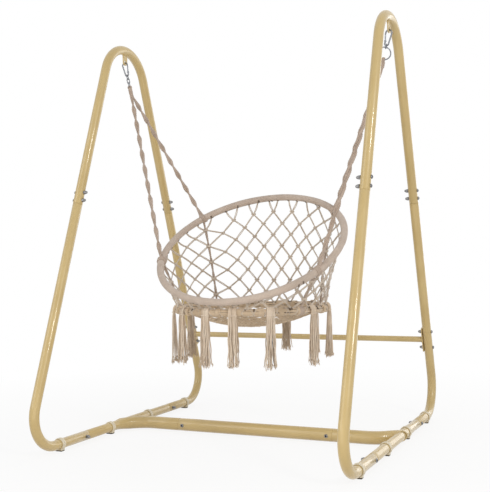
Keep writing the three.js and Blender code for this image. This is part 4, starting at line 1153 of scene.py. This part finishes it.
# Seat net: a finer lattice that sags inside the seat ring, in two zones

SEAT_SAG = 0.072
SEAT_RIM = SEAT_RING.radius - SEAT_RING.tube + 0.002
SEAT_COLUMNS = 48
INNER_COLUMNS = 20
INNER_ZONE = 0.112
MIDDLE = 0.026
SEAT_CORD = 0.0022
SEIZING_CORD = 0.0023


def seat_spot(angle, radius):
    depth = SEAT_SAG * (1 - (radius / SEAT_RIM) ** 2)
    return radial(angle) * radius + Z * (SEAT_HEIGHT - depth)


def seat_zone(shell, columns, radii, size):
    """Rows of knots on rings of falling radius, each joined to its neighbours in the next row."""
    for j, radius in enumerate(radii):
        for i in range(j % 2, columns, 2):
            angle = 360 * i / columns
            spot = seat_spot(angle, radius)
            if j:
                net_knot(shell, spot, Z, radial(angle) + 0.3 * Z, size)
            if j + 1 < len(radii):
                for di in (-1, 1):
                    end = seat_spot(360 * (i + di) / columns, radii[j + 1])
                    bend = (spot + end) / 2 - Z * chance.uniform(0.0, 0.003)
                    cord_pair(shell, spot, bend, end, Z, steps=7)


def make_seat_net():
    shell = Shell("seat_net", "knotted")
    seat_zone(shell, SEAT_COLUMNS, np.linspace(SEAT_RIM, INNER_ZONE, 11), 1.15)
    seat_zone(shell, INNER_COLUMNS, np.linspace(INNER_ZONE, MIDDLE, 4), 1.2)
    for radius in (INNER_ZONE, INNER_ZONE + 0.0045, MIDDLE - 0.004, MIDDLE + 0.0005):
        loop = np.stack([seat_spot(degrees(a), radius) for a in full_turn(90)])
        tube(shell, loop + Z * 0.0012, SEAT_CORD, 8, Z, loop=True)
    shell.build([SEAT], "chair", "cotton", sharp=70)


def make_seizings():
    shell = Shell("seat_ring", "seizings")
    for i in range(0, SEAT_COLUMNS, 2):
        angle = 360 * i / SEAT_COLUMNS + chance.uniform(-1, 1)
        seizing(shell, SEAT_RING, angle, 4, 0.0046, SEIZING_CORD)
    shell.build([SEAT], "chair", "cotton", (), sharp=70)


make_seat_net()
make_seizings()


# Tassels: the cords' gathered ends, laid over the seat ring and hanging from it

# Each tassel's place on the seat ring, and how far it hangs beside it, in degrees
TASSELS = ((-15, -3), (27, 0), (55.7, 0), (85.1, 0), (129.2, 0), (169.6, 0), (207.6, 0),
           (232.3, 1.5), (257, 2.2), (281.7, -1.7), (306.3, 0))
REAR_TASSELS = 6
TASSEL_CORDS = 26
TASSEL_CORD = 0.0021
TASSEL_HALF = 0.0145
TASSEL_NECK = SEAT_HEIGHT - 0.012
TASSEL_END = 0.322
GROUP = 4
YARNS = 4


def tassel(shell, angle, number):
    """Cord ends looped over the ring, hanging in loose waves, each frayed into finer ends."""
    ring_spot = SEAT_RING.centre(angle)
    outward = radial(angle)
    sideways = np.cross(Z, outward)
    deal = random.Random(number * 17 + 5)
    bottom = TASSEL_END + deal.uniform(-0.014, 0.006)
    group_leans = [deal.uniform(-0.0045, 0.0045) for _ in range(7)]
    for k in range(TASSEL_CORDS):
        across = (k + 0.5) / TASSEL_CORDS * 2 - 1 + deal.uniform(-0.08, 0.08)
        layer = (k * 7 % 5) / 4
        reach = SEAT_RING.tube + 0.0022 + 0.0056 * layer
        over = ring_spot + circle(np.linspace(1.25, 0, 6), reach * outward, reach * Z)
        over += sideways * across * TASSEL_HALF
        z = np.linspace(TASSEL_NECK, bottom + deal.uniform(0.0, 0.022), 17)
        fall = (TASSEL_NECK - z) / (SEAT_HEIGHT - bottom)
        root = np.sqrt(fall)
        spread = TASSEL_HALF + 0.0040 * root + 0.0040 * fall ** 5
        wave = 0.0020 * np.sin(z * deal.uniform(45, 95) + deal.uniform(0, 6)) * root
        lean = (group_leans[k // GROUP] + deal.uniform(-0.0025, 0.0025)) * fall ** 1.5
        side = across * spread + wave + lean
        deep = reach - 0.004 * fall + (layer - 0.5) * (0.016 * root + 0.006 * fall ** 4)
        hang = ring_spot + deep[:, None] * outward + side[:, None] * sideways
        hang[:, 2] = z
        path = np.concatenate([over, hang])
        # The innermost strands take the darker cotton as painted shade, and a random quarter of the
        # others take it for tone
        mark = 1 if layer < 0.3 or deal.random() < 0.25 else 0
        radius = np.interp(np.arange(len(path)), [18, 22], [TASSEL_CORD, 0.0016])
        tube(shell, path, radius, 6, sideways + 0.4 * outward, mark, round_ends=True)
        fray(shell, path[-1], unit(path[-1] - path[-2]), sideways, outward, deal, mark)
    at = ring_spot + outward * (SEAT_RING.tube + 0.0045) - Z * 0.011
    coil(shell, at, Z, sideways, 0.0168, 0.0072, 0.0020, 1.3, 0.003)


def fray(shell, spot, down, sideways, outward, deal, mark):
    """A cord's end come apart into curling yarns."""
    t = np.linspace(0, 1, 7)[:, None]
    radius = np.linspace(0.0012, 0.0007, 7)
    for _ in range(YARNS):
        turn, length = deal.uniform(0, 2 * pi), deal.uniform(0.007, 0.017)
        out = cos(turn) * sideways + 0.7 * sin(turn) * outward
        curl = deal.uniform(-0.004, 0.004)
        bend = curl * np.sin(pi * t) * (sin(turn) * sideways - cos(turn) * outward)
        spread = out * deal.uniform(0.001, 0.0045) * t ** 1.6
        path = spot - down * 0.002 + down * length * t + spread + bend
        tube(shell, path, radius, 5, outward, mark, round_ends=True)


def make_tassels(name, numbers):
    shell = Shell(f"tassels_{name}", "cotton")
    for number in numbers:
        tassel(shell, sum(TASSELS[number]), number)
    shell.build([FRINGE, FRINGE_SHADE_AND_TONE], "chair", "cotton", (), sharp=70)


make_tassels("rear", range(REAR_TASSELS))
make_tassels("front", range(REAR_TASSELS, len(TASSELS)))


# Studio: a pale floor, soft light at a plain level, and a white surround

AMBIENT = 0.52
FLOOR_RADIUS = 12
FLOOR_COLOUR = (0.86, 0.85, 0.84, 1)
# How white the floor shows, from under the stand to where its shadow ends
FLOOR_FADE = {"From Min": 0.7, "From Max": 2.4, "To Min": 0.86, "To Max": 1.0}


def plain_white_to_camera(tree, lit, white):
    """Shows white where the camera, or a reflection, looks straight at this surface."""
    rays = add(tree, "LightPath").outputs
    seen = rays["Is Camera Ray"]
    for kind in ("Is Glossy Ray", "Is Transmission Ray"):
        seen = add(tree, "Math", {0: seen, 1: rays[kind]}, operation="MAXIMUM").outputs[0]
    return add(tree, "MixShader", {"Fac": seen, 1: lit, 2: white}).outputs[0]


def make_world():
    world = bpy.data.worlds.new("studio")
    bpy.context.scene.world = world
    world.use_nodes = True
    tree = world.node_tree
    dim = tree.nodes["Background"]
    dim.inputs["Color"].default_value = (1, 1, 1, 1)
    dim.inputs["Strength"].default_value = AMBIENT
    white = add(tree, "Background", {"Color": (1, 1, 1, 1), "Strength": 1.0})
    shown = plain_white_to_camera(tree, dim.outputs[0], white.outputs[0])
    tree.links.new(shown, tree.nodes["World Output"].inputs["Surface"])


def make_floor():
    """A wide disc whose colour the camera sees as nearly white, with the object's soft shadow."""
    mesh = bpy.data.meshes.new("floor")
    rim = circle(full_turn(96), FLOOR_RADIUS * X, FLOOR_RADIUS * Y)
    mesh.from_pydata(rim.tolist(), [], [range(len(rim))])
    floor = bpy.data.objects.new("floor", mesh)
    show(floor)
    finish = Finish("pale_floor", 0.9, Base_Color=FLOOR_COLOUR)
    tree, lit = finish.tree, finish.shader.outputs[0]
    glow = add(tree, "Emission", {"Strength": 1.0}).outputs[0]
    reach = add(tree, "VectorMath", {0: finish.place["Object"]}, operation="LENGTH")
    fade = add(tree, "MapRange", {**FLOOR_FADE, "Value": reach.outputs["Value"]})
    blend = add(tree, "MixShader", {"Fac": fade.outputs["Result"], 1: lit, 2: glow})
    shown = plain_white_to_camera(tree, lit, blend.outputs[0])
    tree.links.new(shown, tree.nodes["Material Output"].inputs["Surface"])
    mesh.materials.append(finish.material)


def lamp(name, place, aim, width, power, colour=(1, 1, 1), glints=True):
    data = bpy.data.lights.new(name, "AREA")
    data.shape = "SQUARE"
    data.size = width
    data.energy = power
    data.color = colour
    light = bpy.data.objects.new(name, data)
    light.location = place
    light.visible_glossy = glints
    light.rotation_mode = "QUATERNION"
    light.rotation_quaternion = (Vector(aim) - Vector(place)).to_track_quat("-Z", "Y")
    show(light)


make_world()
make_floor()
lamp("key", (3.7, -2.5, 2.9), (0, 0, 0.8), 0.8, 66)
lamp("fill", (-2.6, -3.6, 2.6), (0, 0, 0.8), 2.6, 39)
lamp("rim", (0.6, 3.4, 2.8), (0, 0, 0.9), 1.8, 26, glints=False)
lamp("behind", (2.2, 5.2, 1.1), (0.3, 0, 0.1), 3.2, 44)
lamp("low", (0.2, -1.6, 0.15), (0, 0.2, 0.8), 1.4, 6, (1.0, 0.93, 0.82))

bpy.context.scene.view_settings.view_transform = "Standard"
